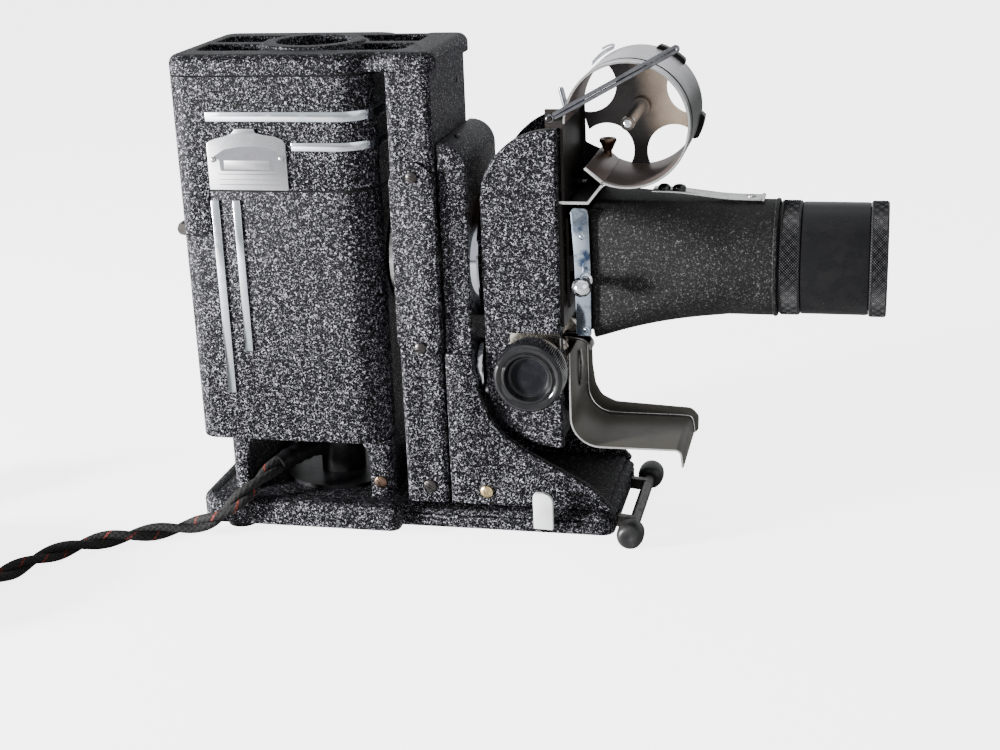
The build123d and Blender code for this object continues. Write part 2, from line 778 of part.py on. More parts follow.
wheel = rod_y(knob_x, knob_z, 6.0, -17.2, 17.2)
for side in (-1, 1):
    low_y = min(side * 11.4, side * 17.2)
    wheel = wheel + rod_y(knob_x, knob_z, sprocket_radius, low_y, low_y + 5.8)
    for n in range(14):
        tooth = Pos(sprocket_radius + tooth_height / 2 - 0.3, 0, 0) * Box(tooth_height + 0.6, 1.9, 1.5)
        tooth = Pos(knob_x, side * track_y, knob_z) * Rot(0, n * 360 / 14, 0) * tooth
        wheel = wheel + tooth
wheel = wheel - rod_y(knob_x, knob_z, shaft_radius + run_gap, -60, 60)
parts["film_sprocket"] = wheel

knob = rod_y(knob_x, knob_z, knob_radius, knob_near, knob_back)
knob = fillet(knob.edges().filter_by(GeomType.CIRCLE), 1.0)
grooves = []
for n in range(40):
    turn = Pos(knob_x, knob_back - 5.4, knob_z) * Rot(0, n * 360 / 40, 0)
    grooves.append(turn * Pos(knob_radius + 0.1, 0, 0) * Rot(0, 45, 0) * Box(0.8, 8, 0.8))
knob = knob - grooves
dimple = rod_y(knob_x, knob_z, 10.4, knob_near - 1, knob_near + 1.6)
boss = rod_y(knob_x, knob_z, 9.8, knob_near - 1, knob_near + 2) - rod_y(
    knob_x, knob_z, 7.6, knob_near - 2, knob_near + 3
)
well = rod_y(knob_x, knob_z, 7.2, knob_near - 1, knob_near + 3.2)
knob = knob - (dimple - boss) - well
knob = knob - rod_y(knob_x, knob_z, shaft_radius + run_gap, knob_back - 8.1, knob_back + 5)
parts["advance_knob"] = knob

backing = box(
    knob_x - 9.7, head_face, -head_half - 1.2, -head_half, knob_z - 11.8, knob_z + 12.2
)
backing = fillet(backing.edges().filter_by(Axis.Y), 1.5)
backing = backing - rod_y(knob_x, knob_z, shaft_radius + 0.4, -60, 0)
parts["knob_plate"] = backing

# Film gate
aperture = box(head_face, head_face + plate_sheet, -gate_half, gate_half, gate_low, gate_lip)
aperture = aperture - box(head_face - 9, head_face + 9, -17, 17, light_z - 12, light_z + 12)
parts["aperture_plate"] = aperture

film_x = head_face + plate_sheet
press = box(film_x + 0.4, film_x + 1.4, -15.5, 15.5, gate_low + 6, gate_lip - 6.6)
press = press - box(film_x - 9, film_x + 9, -12.5, 12.5, light_z - 9.5, light_z + 9.5)
for side in (-1, 1):
    lug = side * 14
    press = press + box(film_x + 1.2, film_x + 3.4, lug - 1, lug + 1, light_z - 3, light_z + 3)
parts["pressure_plate"] = press

cheek_in = 18.0
gate = box(film_x + 5.4, mouth_x, -16.5, cheek_in + 2, gate_low - 2, gate_lip - 2.6)
gate = gate - box(film_x, mouth_x + 9, -13.5, 13.5, light_z - 14, light_z + 14)
gate = gate + box(film_x, mouth_x, cheek_in, cheek_in + 2.4, gate_low + 2, gate_lip - 2.6)
for side in (-1, 1):
    lug = side * 14
    gate = gate - box(film_x - 1, film_x + 8, lug - 1.4, lug + 1.4, light_z - 3.4, light_z + 3.4)
parts["gate_block"] = gate

guide_half = 20.0
drum_left = drum_x - drum_radius
guide = box(head_face, head_face + 10.7, -guide_half, guide_half, gate_lip, gate_lip + 1)
guide = guide - box(head_face - 9, head_face + 4.4, -17.9, 17.9, gate_lip - 1, gate_lip + 2)
guide = guide + box(drum_left - 1, drum_left, -guide_half, guide_half, gate_lip, drum_z - 0.2)
ramp = outline(
    [
        (head_face + 9.8, gate_lip),
        (head_face + 10.9, gate_lip),
        (drum_x - 8.7, gate_lip + 6.9),
        (drum_x - 9.5, gate_lip + 7.4),
    ]
)
guide = guide + slab(ramp, -guide_half, guide_half)
ear = box(bail_x - 2.6, drum_left, -guide_half - 1.0, -guide_half + 0.6, head_top + 0.4, bail_z + 2.6)
guide = guide + ear
guide = guide + rod_y(bail_x, bail_z, bail_pin, bail_y - bail_wire - 0.4, -guide_half)
guide = guide + rod_y(bail_x, bail_z, bail_pin + 0.7, bail_y - bail_wire - 1.0, bail_y - bail_wire - 0.3)
parts["film_guide"] = guide

# Gate release arm
blade_points = [
    (stud_x - 4.6, arm_high - 1.5),
    (stud_x - 3.6, arm_high),
    (stud_x + 1.6, arm_high - 0.2),
    (stud_x + 2.6, arm_high - 2),
    (stud_x + 3.1, stud_z + 5),
    (stud_x + 3.0, arm_low),
    (stud_x - 3.2, arm_low),
    (stud_x - 3.4, stud_z + 5),
    (stud_x - 3.6, stud_z + 11),
]
blade = slab(outline(blade_points), arm_inner - arm_sheet, arm_inner)
for x, z in ((stud_x - 0.4, arm_high - 10.7), (stud_x + 1, arm_low + 2.4)):
    blade = blade + rod_y(x, z, 1.2, arm_inner - arm_sheet - 0.7, arm_inner - arm_sheet)
blade = blade - rod_y(stud_x, stud_z, 1.5 + run_gap, -60, 0)
blade = blade - rod_y(arm_pivot_x, arm_pivot_z, 1.5 + run_gap, -19.2, 0)
parts["gate_arm"] = blade
pivot = rod_y(arm_pivot_x, arm_pivot_z, 1.5, -19.2, -16.5)
parts["gate_block"] = parts["gate_block"] + pivot

stud = rod_y(stud_x, stud_z, 1.5, arm_inner - 8.5, arm_inner)
stud = stud + (Pos(stud_x, arm_inner - 11.0, stud_z) * Sphere(3.6))
stud = stud + rod_y(stud_x, stud_z, 2.6, arm_inner - arm_sheet - 1.2, arm_inner - arm_sheet)
parts["gate_ball_stud"] = stud

curl_x = head_face + 6.2
curl_z = gate_low - 9.4
curl_points = [(head_face, curl_z + 5.6), (curl_x, curl_z + 5.0)]
curl_points += arc_points(curl_x, curl_z, 5.0, 85, 5, 6)
curl_points += arc_points(curl_x, curl_z, 4.0, 5, 85, 6)
curl_points += [(curl_x, curl_z + 4.0), (head_face, curl_z + 4.6)]
curl = outline(curl_points)
finger_points = [(0.2, -19), (0.9, -19), (1.5, -11), (0.8, -4.5), (0.2, -4.5), (0.7, -11)]
finger = outline([(chute_x + x, chute_high + z) for x, z in finger_points])
parts["guide_springs"] = Compound(children=[slab(curl, -20, 20), slab(finger, -1.6, 1.6)])

# Take-up chute
low_edge = chute_floor
bend_x = chute_x + chute_bend
bend_z = low_edge + chute_bend
path_out = [(chute_x - chute_sheet, chute_high)]
path_out += arc_points(bend_x, bend_z, chute_bend + chute_sheet, 180, 270, 10)
path_out += [(chute_end - 1.5, low_edge - chute_sheet), (chute_end - 0.6, low_edge - 2.0)]
path_out += [(chute_end, chute_lip), (chute_end + chute_sheet, chute_lip)]
path_out += [(chute_end + 0.6, low_edge - 1.2), (chute_end - 0.9, low_edge)]
path_out += arc_points(bend_x, bend_z, chute_bend, 270, 180, 10)
path_out += [(chute_x, chute_high)]
chute = slab(outline(path_out), -chute_half, chute_half)
for side in (-1, 1):
    flange = [(chute_x - chute_sheet, chute_high - 7)]
    flange += arc_points(bend_x, bend_z, chute_bend + chute_sheet, 180, 270, 10)
    flange += [(chute_end - 1.5, low_edge - chute_sheet), (chute_end, chute_lip)]
    flange += [(chute_end + 2.5, chute_lip + 1.3), (chute_end + 2.7, low_edge)]
    flange += [(chute_end, low_edge + 3.2), (chute_x + 9.8, low_edge + 4.6)]
    flange += [(chute_x + 4.3, low_edge + 9), (chute_x + 2.7, low_edge + 18)]
    flange += [(chute_x + 2.1, chute_high - 7)]
    if side > 0:
        chute = chute + slab(outline(flange), chute_half - 1.0, chute_half)
for side in (-1, 1):
    middle = side * track_y
    chute = chute - box(head_face, head_face + 6, middle - 1.7, middle + 1.7, knob_z - 9.3, chute_high + 1)
chute = chute + box(head_face, chute_x - chute_sheet, -8, 8, low_edge + 10, low_edge + 18)
parts["take_up_chute"] = chute

# Film drum
wall = rod_y(drum_x, drum_z, drum_radius, -drum_half, drum_half)
wall = wall - rod_y(drum_x, drum_z, drum_radius - drum_sheet, -60, 60)
wedge = [(drum_x, drum_z)] + arc_points(drum_x, drum_z, 60.0, 178, 246, 6)
wall = wall - slab(outline(wedge), -60, 60)
bead = rod_y(drum_x, drum_z, drum_radius + 0.7, -drum_half + 1.6, -drum_half + 3.0)
bead = bead - rod_y(drum_x, drum_z, drum_radius - 0.5, -60, 60)
bead = bead - slab(outline(wedge), -60, 60)
wall = wall + bead
lip_points = [(-8.8, 7.8), (-8.2, 8.7), (-14.8, 14.0), (-15.4, 13.2)]
lip = outline([(drum_x + x, gate_lip + z) for x, z in lip_points])
wall = wall + slab(lip, -drum_half, drum_half - 1.4)
parts["film_drum"] = wall

back = rod_y(drum_x, drum_z, drum_radius - drum_sheet - 0.02, drum_half - 1.2, drum_half)
for angle in (20, 158, 232, 306):
    x = drum_x + drum_hole_reach * math.cos(math.radians(angle))
    z = drum_z + drum_hole_reach * math.sin(math.radians(angle))
    back = back - rod_y(x, z, drum_hole_radius, 0, 60)
back = back + rod_y(drum_x, drum_z, 3.6, drum_half - 4, drum_half)
back = back + rod_y(drum_x, drum_z, 2.4, -17.0, drum_half)
parts["drum_back"] = back

clips = [
    box(drum_x + drum_radius + 0.02, drum_x + drum_radius + 2.2, 14, 20.5, drum_z - 9.1, drum_z - 1.6),
    box(drum_left - 1.6, drum_left + 0.6, -20.6, -18.0, drum_z + 8.4, drum_z + 14),
]
parts["drum_clips"] = Compound(children=clips)

thumb_x = drum_x - 12.0
thumb_y = 14.0
thumb_z = gate_lip + 14.2
thumb = rod_z(thumb_x, thumb_y, 3.4, thumb_z, thumb_z + 3.6)
thumb = fillet(thumb.edges().filter_by(GeomType.CIRCLE).group_by(Axis.Z)[-1], 0.5)
thumb = thumb + rod_z(thumb_x, thumb_y, 1.5, thumb_z - 5.8, thumb_z + 0.2)
parts["thumb_screw"] = thumb
thumb_hole = rod_z(thumb_x, thumb_y, 1.5 + run_gap, gate_lip, thumb_z + 12)
parts["film_drum"] = parts["film_drum"] - thumb_hole

# Bail across the mouth of the drum
lean = math.degrees(math.atan2(bail_end_z - bail_z, bail_end_x - bail_x))
length = math.hypot(bail_end_z - bail_z, bail_end_x - bail_x)
wire = None
for side in (-1, 1):
    leg = Pos(length / 2, 0, side * (bail_wire + 0.35)) * Rot(0, 90, 0) * Cylinder(bail_wire, length)
    wire = leg if wire is None else wire + leg
eye = Rot(90, 0, 0) * Cylinder(3.0, 2 * bail_wire) - Rot(90, 0, 0) * Cylinder(bail_pin + run_gap, 4 * bail_wire)
tip = Pos(length, 0, 0) * Rot(90, 0, 0) * Cylinder(2.35, 2 * bail_wire)
wire = wire - Rot(90, 0, 0) * Cylinder(2.0, 4 * bail_wire)
bail = Pos(bail_x, bail_y, bail_z) * Rot(0, -lean, 0) * (wire + eye + tip)
parts["film_bail"] = bail

# Lens housing
mouth = Plane.YZ.offset(mouth_x) * Pos(0, (mouth_low + mouth_high) / 2) * RectangleRounded(
    2 * mouth_half, mouth_high - mouth_low, 8.0
)
waist_x = mouth_x + 27.4
round_x = housing_end - 19.0
waist = Plane.YZ.offset(waist_x) * Pos(0, light_z) * RectangleRounded(39.5, 47.0, 16.0)
far_end = Plane.YZ.offset(round_x) * Pos(0, light_z) * RectangleRounded(
    2 * housing_radius, 2 * housing_radius, housing_radius - 0.05
)
shell = loft([mouth, waist, far_end], ruled=True)
shell = shell + rod_x(0, light_z, housing_radius, round_x, housing_end)
mouth_in = Plane.YZ.offset(mouth_x - 0.01) * Pos(0, (mouth_low + mouth_high) / 2) * RectangleRounded(
    2 * mouth_half - 2 * housing_wall, mouth_high - mouth_low - 2 * housing_wall, 5.6
)
waist_in = Plane.YZ.offset(waist_x) * Pos(0, light_z) * RectangleRounded(
    39.5 - 2 * housing_wall, 47.0 - 2 * housing_wall, 16.0 - housing_wall
)
bore = lens_radius - 0.4
end_in = Plane.YZ.offset(lens_tail) * Pos(0, light_z) * RectangleRounded(2 * bore, 2 * bore, bore - 0.05)
inside = loft([mouth_in, waist_in, end_in], ruled=True)
shell = shell - inside
shell = shell - rod_x(0, light_z, lens_radius + run_gap, lens_tail - 2, housing_end + 1)
lip_ring = rod_x(0, light_z, housing_radius + 0.8, housing_end - 2.2, housing_end)
lip_ring = lip_ring - rod_x(0, light_z, housing_radius - 0.3, 0, 200)
shell = shell + lip_ring
parts["lens_housing"] = shell

# Lens
tube = rod_x(0, light_z, lens_radius, lens_tail, ring_b)
tube = tube + rod_x(0, light_z, smooth_radius, ring_b, tube_end)
tube = tube + rod_x(0, light_z, lens_radius, tube_end, lens_end - 0.4)
tube = tube - rod_x(0, light_z, lens_radius - 2.2, 0, 300)
parts["lens_barrel"] = tube


def knurled(x0, x1, radius, count):
    body = rod_x(0, light_z, radius, x0, x1)
    body = chamfer(body.edges().filter_by(GeomType.CIRCLE), 0.5)
    grooves = []
    for n in range(count):
        cut = Pos((x0 + x1) / 2, 0, light_z) * Rot(360 * n / count, 0, 0)
        grooves.append(cut * Pos(0, 0, radius + 0.1) * Rot(45, 0, 0) * Box(x1 - x0 + 2, 0.7, 0.7))
    body = body - grooves
    return body - rod_x(0, light_z, lens_radius + run_gap, 0, 300)


parts["lens_rear_ring"] = knurled(ring_a, ring_b - 0.02, knurl_radius, 48)
parts["lens_front_ring"] = knurled(tube_end + 0.02, lens_end, knurl_radius + 0.1, 48)

glass_radius = lens_radius - 2.25
glasses = [
    lens_disc(lens_end - 7.0, 2.2, glass_radius, 48.0, 1),
    lens_disc(lens_tail + 7.0, 2.2, glass_radius, 48.0, -1),
]
parts["lens_glasses"] = Compound(children=glasses)

# Lens lever on top of the housing
lever_end = housing_end - 5.8
lever_screw_x = lever_end - 4.8
lever_foot = light_z + housing_radius + seat_gap
lever_eye = 1.1
lever_points = [
    (lever_end - 42.2, lever_foot + 3.8),
    (lever_end - 33.2, lever_foot + 3.6),
    (lever_end - 25.2, lever_foot + 2.8),
    (lever_end - 15.2, lever_foot + 1.7),
    (lever_end, lever_foot + 1.0),
    (lever_end, lever_foot),
    (lever_end - 15.2, lever_foot + 0.7),
    (lever_end - 25.2, lever_foot + 1.8),
    (lever_end - 33.2, lever_foot + 2.6),
    (lever_end - 42.2, lever_foot + 2.8),
]
lever = slab(outline(lever_points), -4.0, 4.0)
lever = lever + rod_y(lever_end, lever_foot + lever_eye, lever_eye, -4.0, 4.0)
lever = lever + (Pos(lever_end - 41.6, 0, lever_foot + 4.4) * Sphere(2.2))
lever = lever + rod_z(lever_screw_x, 0, 2.4, lever_foot + 0.2, lever_foot + 2.3)
parts["lens_lever"] = lever

studs = []
for x in (lever_end - 36.2, lever_end - 31.0):
    head = Pos(x, 0, lever_foot + 3.75) * Sphere(2.3)
    head = head & box(x - 3, x + 3, -3, 3, lever_foot + 3.75, 150)
    studs.append(head.solids()[0])
parts["lever_studs"] = Compound(children=studs)

# Mains cord
route = [
    (-44.4, -7.6, 27.0),
    (-54.0, -24.0, 26.5),
    (-63.0, -41.5, 18.5),
    (-74.5, -45.5, 8.5),
    (-89.0, -44.0, 3.6),
    (-104.5, -52.5, 3.6),
    (-121.0, -62.5, 3.6),
    (-133.5, -77.0, 3.6),
    (-141.0, -94.0, 3.6),
    (-148.0, -121.0, 3.6),
]


def turn_radii(points):
    """The bend at each corner: 0.45 of the shorter run, which leaves straight ends."""
    radii = []
    for a, b, c in zip(points, points[1:], points[2:]):
        one = Vector(*b) - Vector(*a)
        two = Vector(*c) - Vector(*b)
        half_turn = math.radians(one.get_angle(two)) / 2
        radii.append(0.45 * min(one.length, two.length) / math.tan(half_turn))
    return radii


cord_bends = turn_radii(route)
cord_path = FilletPolyline(*route, radius=cord_bends)
start = Plane(origin=cord_path @ 0, z_dir=cord_path % 0)
cord = sweep(start * Circle(cord_radius), path=cord_path)
print("cord bends", [round(r, 1) for r in cord_bends], "length", round(cord_path.length, 1))
print("cord volume", round(cord.volume), round(math.pi * cord_radius**2 * cord_path.length))
parts["cord_run"] = cord
gland = start * Pos(0, 0, -4.5) * Cylinder(cord_radius + 1.3, 9.0)
parts["socket_column"] = parts["socket_column"] + gland

# The rest of the cord, wound flat in two layers beside the part
coil_outer = 50.5
coil_pitch = 2 * cord_radius + 0.7
coil_turns = 3
cord_out = 44.0
heading = cord_path % 1
ahead = Vector(heading.X, heading.Y, 0).normalized()
outward = Vector(-ahead.Y, ahead.X, 0)
begin = cord_path @ 1 + ahead * (2 * cord_radius)
coil_middle = begin - outward * coil_outer


def coil_point(across, along, up):
    return coil_middle + outward * across + ahead * along + Vector(0, 0, up)


pieces = [Edge.make_line(cord_path @ 1, begin)]
across = coil_outer
width = 2 * coil_outer - coil_pitch / 2
level = 0.0
side = 1
for n in range(4 * coil_turns + 1):
    climbs = n == 2 * coil_turns
    rise = coil_pitch if climbs else 0.0
    here = coil_point(across, 0, level)
    there = coil_point(across - side * width, 0, level + rise)
    depth = math.hypot(width, rise) / 2
    top = coil_point(across - side * width / 2, side * depth, level + rise / 2)
    pieces.append(Edge.make_tangent_arc(here, ahead * side, top))
    pieces.append(Edge.make_tangent_arc(top, pieces[-1] % 1, there))
    across = across - side * width
    level = level + rise
    side = -side
    if n < 2 * coil_turns:
        width = width - coil_pitch
    else:
        width = width + coil_pitch
finish = there + ahead * side * cord_out
pieces.append(Edge.make_line(there, finish))
coil_path = Wire(pieces)
start = Plane(origin=coil_path @ 0, z_dir=coil_path % 0)
coil = sweep(start * Circle(cord_radius), path=coil_path)
parts["cord_coil"] = coil

marks = []
walked = 0.0
for piece in pieces:
    steps = max(2, int(piece.length / 2))
    for k in range(steps):
        marks.append((walked + piece.length * k / steps, piece @ (k / steps)))
    walked = walked + piece.length
least = 999.0
for i, (mark_a, spot_a) in enumerate(marks):
    for mark_b, spot_b in marks[i + 1 :]:
        if mark_b - mark_a > 8 * cord_radius:
            least = min(least, (spot_a - spot_b).length)
print("coil least gap", round(least - 2 * cord_radius, 2), "length", round(coil_path.length, 1))
print("coil volume", round(coil.volume), round(math.pi * cord_radius**2 * coil_path.length))
print("cord whole length", round(coil_path.length + cord_path.length, 1))

# Plug at the end of the cord
plug_radius = 11.2
plug_length = 27.0
plug_at = Plane(origin=finish, z_dir=ahead * side, x_dir=Vector(0, 0, 1))
neck = Pos(0, 0, 4.0) * Cylinder(cord_radius + 1.6, 8.0)
body = Pos(0, 0, 8.0 + plug_length / 2) * Cylinder(plug_radius, plug_length)
body = fillet(body.edges().filter_by(GeomType.CIRCLE).group_by(Axis.Z)[0], 7.0)
body = fillet(body.edges().filter_by(GeomType.CIRCLE).group_by(Axis.Z)[-1], 1.0)
parts["plug_body"] = plug_at * (neck + body)
blades = []
for shift in (-6.35, 6.35):
    blade = Pos(0, shift, 8.0 + plug_length + 8.5) * Box(6.35, 1.5, 17.0)
    blades.append(plug_at * fillet(blade.edges().filter_by(Axis.Y).group_by(Axis.Z)[-1], 1.4))
parts["plug_blades"] = Compound(children=blades)

# The origin is under the middle of the part, from the hinge's back to the lens's front
origin_x = (pin_x - knuckle_radius + lens_end) / 2
for name, shape in parts.items():
    solids = [Pos(-origin_x, 0, 0) * solid for solid in shape.solids()]
    export_step(solids[0] if len(solids) == 1 else Compound(solids), "parts/" + name + ".step")
print("origin x", round(origin_x, 3))
print(len(parts), "nodes")
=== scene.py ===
import json
import math

import bmesh
import bpy
from mathutils import Matrix, Vector


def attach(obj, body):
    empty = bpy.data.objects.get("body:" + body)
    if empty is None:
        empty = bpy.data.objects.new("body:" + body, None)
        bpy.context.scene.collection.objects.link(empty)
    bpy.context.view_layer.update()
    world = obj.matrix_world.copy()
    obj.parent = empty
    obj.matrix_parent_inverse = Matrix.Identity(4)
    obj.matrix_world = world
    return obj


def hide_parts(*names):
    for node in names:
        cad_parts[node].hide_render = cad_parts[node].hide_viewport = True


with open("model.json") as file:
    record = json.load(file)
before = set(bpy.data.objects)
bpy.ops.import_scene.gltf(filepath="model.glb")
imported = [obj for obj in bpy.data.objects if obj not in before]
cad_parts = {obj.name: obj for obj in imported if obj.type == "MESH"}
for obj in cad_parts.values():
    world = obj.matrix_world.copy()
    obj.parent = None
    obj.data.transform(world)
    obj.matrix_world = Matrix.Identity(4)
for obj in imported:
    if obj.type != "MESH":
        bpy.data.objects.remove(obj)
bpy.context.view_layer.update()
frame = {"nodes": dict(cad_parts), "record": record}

nodes = frame["nodes"]
originX = 44.0  # the part's middle, in the maker's own millimetres
lightZ = 107.0  # height of the optical axis
mergeGap = 0.0005  # corners nearer than this are one, in millimetres
toFrame = Matrix.Scale(0.001, 4) @ Matrix.Translation((-originX, 0, 0))
alongX = Vector((1, 0, 0))
nearWay = Vector((0, -1, 0))
upWay = Vector((0, 0, 1))
onAxis = (0, 0, lightZ)


def at(x, y, z):
    return Vector(((x - originX) / 1000, y / 1000, z / 1000))


def mm(value):
    return value / 1000


def linkNew(name, data):
    made = bpy.data.objects.new(name, data)
    bpy.context.scene.collection.objects.link(made)
    return made


# Camera
cameraView = {
    "place": (171.6, -604.5, 269.1),
    "azimuth": 13.10,
    "elevation": 18.89,
    "roll": -2.23,
    "lens": 59.9,
    "sensor": 36,
    "nearest": 0.01,
}


def makeCamera(view):
    azimuth = math.radians(view["azimuth"])
    elevation = math.radians(view["elevation"])
    roll = math.radians(view["roll"])
    back = Vector((
        math.sin(azimuth) * math.cos(elevation),
        -math.cos(azimuth) * math.cos(elevation),
        math.sin(elevation),
    ))
    right = (-back).cross(upWay).normalized()
    up = back.cross(right)
    rolledRight = right * math.cos(roll) + up * math.sin(roll)
    rolledUp = up * math.cos(roll) - right * math.sin(roll)
    data = bpy.data.cameras.new("camera")
    data.sensor_width = view["sensor"]
    data.lens = view["lens"]
    data.clip_start = view["nearest"]
    camera = linkNew("camera", data)
    turn = Matrix((rolledRight, rolledUp, back)).transposed().to_4x4()
    camera.matrix_world = Matrix.Translation(at(*view["place"])) @ turn
    bpy.context.scene.camera = camera


makeCamera(cameraView)


def faceOut(shape):
    bmesh.ops.recalc_face_normals(shape, faces=shape.faces)


# Shapes are made in the maker's own millimetres and then put in the frame
def placePiece(name, mesh, body, replaced=()):
    piece = linkNew(name, mesh)
    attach(piece, body)
    if replaced:
        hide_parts(*replaced)
    return piece


def finishPiece(name, shape, body, finishes, replaced=(), crease=32):
    bmesh.ops.remove_doubles(shape, verts=shape.verts, dist=mergeGap)
    faceOut(shape)
    bmesh.ops.transform(shape, matrix=toFrame, verts=shape.verts)
    mesh = bpy.data.meshes.new(name)
    shape.to_mesh(mesh)
    shape.free()
    mesh.shade_smooth()
    mesh.set_sharp_from_angle(angle=math.radians(crease))
    for finishName in finishes:
        mesh.materials.append(finish[finishName])
    return placePiece(name, mesh, body, replaced)


# Joins a part to a shape; with None for its finish it keeps the finishes that its faces have
def addTo(shape, part, finishIndex=0):
    if finishIndex is not None:
        for face in part.faces:
            face.material_index = finishIndex
    carrier = bpy.data.meshes.new("carrier")
    part.to_mesh(carrier)
    part.free()
    shape.from_mesh(carrier)
    bpy.data.meshes.remove(carrier)


# A CAD node's mesh is loose triangles, so its copy is merged into flat faces first
def cadShape(name):
    shape = bmesh.new()
    shape.from_mesh(nodes[name].data)
    bmesh.ops.remove_doubles(shape, verts=shape.verts, dist=0.000001)
    bmesh.ops.dissolve_limit(shape, angle_limit=math.radians(0.5), verts=shape.verts, edges=shape.edges)
    return shape


def closeEnds(shape):
    openEdges = [edge for edge in shape.edges if len(edge.link_faces) == 1]
    if openEdges:
        bmesh.ops.holes_fill(shape, edges=openEdges)


def cutThrough(shape, place, way):
    everything = shape.verts[:] + shape.edges[:] + shape.faces[:]
    bmesh.ops.bisect_plane(shape, geom=everything, dist=0.0001, plane_co=place, plane_no=way)


# A profile of (distance along, radius) turned round an axis
def turned(profile, centre, along, steps=64, sweep=360, across=None, closed=False):
    shape = bmesh.new()
    centre = Vector(centre)
    along = Vector(along).normalized()
    across = Vector(across).normalized() if across else along.orthogonal().normalized()
    verts = [shape.verts.new(centre + along * a + across * r) for a, r in profile]
    edges = [shape.edges.new(pair) for pair in zip(verts, verts[1:])]
    if closed:
        edges.append(shape.edges.new((verts[-1], verts[0])))
    bmesh.ops.spin(
        shape, geom=verts + edges, cent=centre, axis=along,
        angle=math.radians(sweep), steps=steps, use_merge=sweep == 360,
    )
    bmesh.ops.remove_doubles(shape, verts=shape.verts, dist=mergeGap)
    if sweep != 360 and closed:
        closeEnds(shape)
    faceOut(shape)
    return shape


def sharpEdges(shape, angle, convexOnly=False):
    return [
        edge for edge in shape.edges
        if len(edge.link_faces) == 2 and edge.calc_face_angle(0) > math.radians(angle)
        and (edge.is_convex or not convexOnly)
    ]


def bevel(shape, parts, width, segments, kind="EDGES", clamp=True):
    bmesh.ops.bevel(
        shape, geom=parts, offset=width, offset_type="OFFSET", segments=segments,
        profile=0.5, affect=kind, clamp_overlap=clamp, material=-1,
    )


def soften(shape, width, segments=2, angle=30):
    bevel(shape, sharpEdges(shape, angle), width, segments)


def pullAcross(shape, made, depth):
    moved = [item for item in made["geom"] if isinstance(item, bmesh.types.BMVert)]
    bmesh.ops.translate(shape, vec=(0, depth, 0), verts=moved)


# Corners in x and z, near and far side in y, rounding of the corners, softening of the edges
def plate(corners, near, far, rounding=0.0, soft=0.2, segments=6):
    shape = bmesh.new()
    verts = [shape.verts.new((x, near, z)) for x, z in corners]
    shape.faces.new(verts)
    sizes = rounding if isinstance(rounding, dict) else {n: rounding for n in range(len(verts))}
    for n, size in sizes.items():
        if size > 0:
            bevel(shape, [verts[n]], size, segments, "VERTICES")
    pullAcross(shape, bmesh.ops.extrude_face_region(shape, geom=shape.faces[:]), far - near)
    closeEnds(shape)
    faceOut(shape)
    if soft:
        soften(shape, soft)
    return shape


def bentSheet(chain, near, far, thick, bends, towards, soft=0.15, segments=8):
    shape = bmesh.new()
    verts = [shape.verts.new((x, near, z)) for x, z in chain]
    for pair in zip(verts, verts[1:]):
        shape.edges.new(pair)
    for vert, bend in zip(verts[1:-1], bends):
        bevel(shape, [vert], bend, segments, "VERTICES")
    pullAcross(shape, bmesh.ops.extrude_edge_only(shape, edges=shape.edges[:]), far - near)
    faceOut(shape)
    first = Vector((chain[0][0], 0, chain[0][1]))
    start = min(shape.faces, key=lambda face: (face.calc_center_median() - first).length)
    if start.normal.dot(Vector(towards)) < 0:
        bmesh.ops.reverse_faces(shape, faces=shape.faces)
    bmesh.ops.solidify(shape, geom=shape.faces[:], thickness=thick)
    faceOut(shape)
    if soft:
        soften(shape, soft, angle=50)
    return shape


def curveMesh(name, points, radius, spline="POLY", facets=3, widths=None, fineness=8):
    curve = bpy.data.curves.new(name, "CURVE")
    curve.dimensions = "3D"
    run = curve.splines.new(spline)
    run.points.add(len(points) - 1)
    for n, spot in enumerate(points):
        run.points[n].co = (*spot, 1)
        run.points[n].radius = widths[n] if widths else 1.0
    if spline == "NURBS":
        run.order_u = 3
        run.use_endpoint_u = True
        curve.resolution_u = fineness
    curve.bevel_depth = radius
    curve.bevel_resolution = facets
    curve.use_fill_caps = radius > 0
    holder = linkNew(name, curve)
    bpy.context.view_layer.update()
    mesh = bpy.data.meshes.new_from_object(holder)
    bpy.data.objects.remove(holder)
    return mesh


def wire(points, radius, spline="POLY", facets=3):
    shape = bmesh.new()
    mesh = curveMesh("wire", points, radius, spline, facets)
    shape.from_mesh(mesh)
    bpy.data.meshes.remove(mesh)
    return shape


def ringOf(centre, along, middle, thick, steps=32, facets=10):
    profile = []
    for n in range(facets):
        angle = 2 * math.pi * n / facets
        profile.append((thick * math.cos(angle), middle + thick * math.sin(angle)))
    return turned(profile, centre, along, steps, closed=True)


# "fluted" says where the flutes stand: from and to along the axis, and outside which radius
def flutedShape(look, centre, along):
    shape = turned(look["profile"], centre, along, look["steps"])
    low, high, least = look["fluted"]
    across = Vector(along).orthogonal().normalized()
    other = Vector(along).cross(across)
    for vert in shape.verts:
        spot = vert.co - Vector(centre)
        share = spot.dot(along)
        flat = spot - Vector(along) * share
        if low < share < high and flat.length > least:
            wave = math.cos(look["flutes"] * math.atan2(flat.dot(other), flat.dot(across)))
            vert.co -= flat.normalized() * look["depth"] * (0.5 - 0.5 * wave)
    return shape


# A head's curve is given in shares of its height and of its radius
def domeProfile(radius, height, sunk, curve):
    return [(-sunk, radius)] + [(h * height, radius * r) for h, r in curve] + [(height, 0)]


headLook = {
    "sunk": 0.4,
    "curve": [(0.2, 1), (0.55, 0.93), (0.82, 0.72), (0.96, 0.4)],
    "slotFloor": 0.25,
    "steps": 28,
}


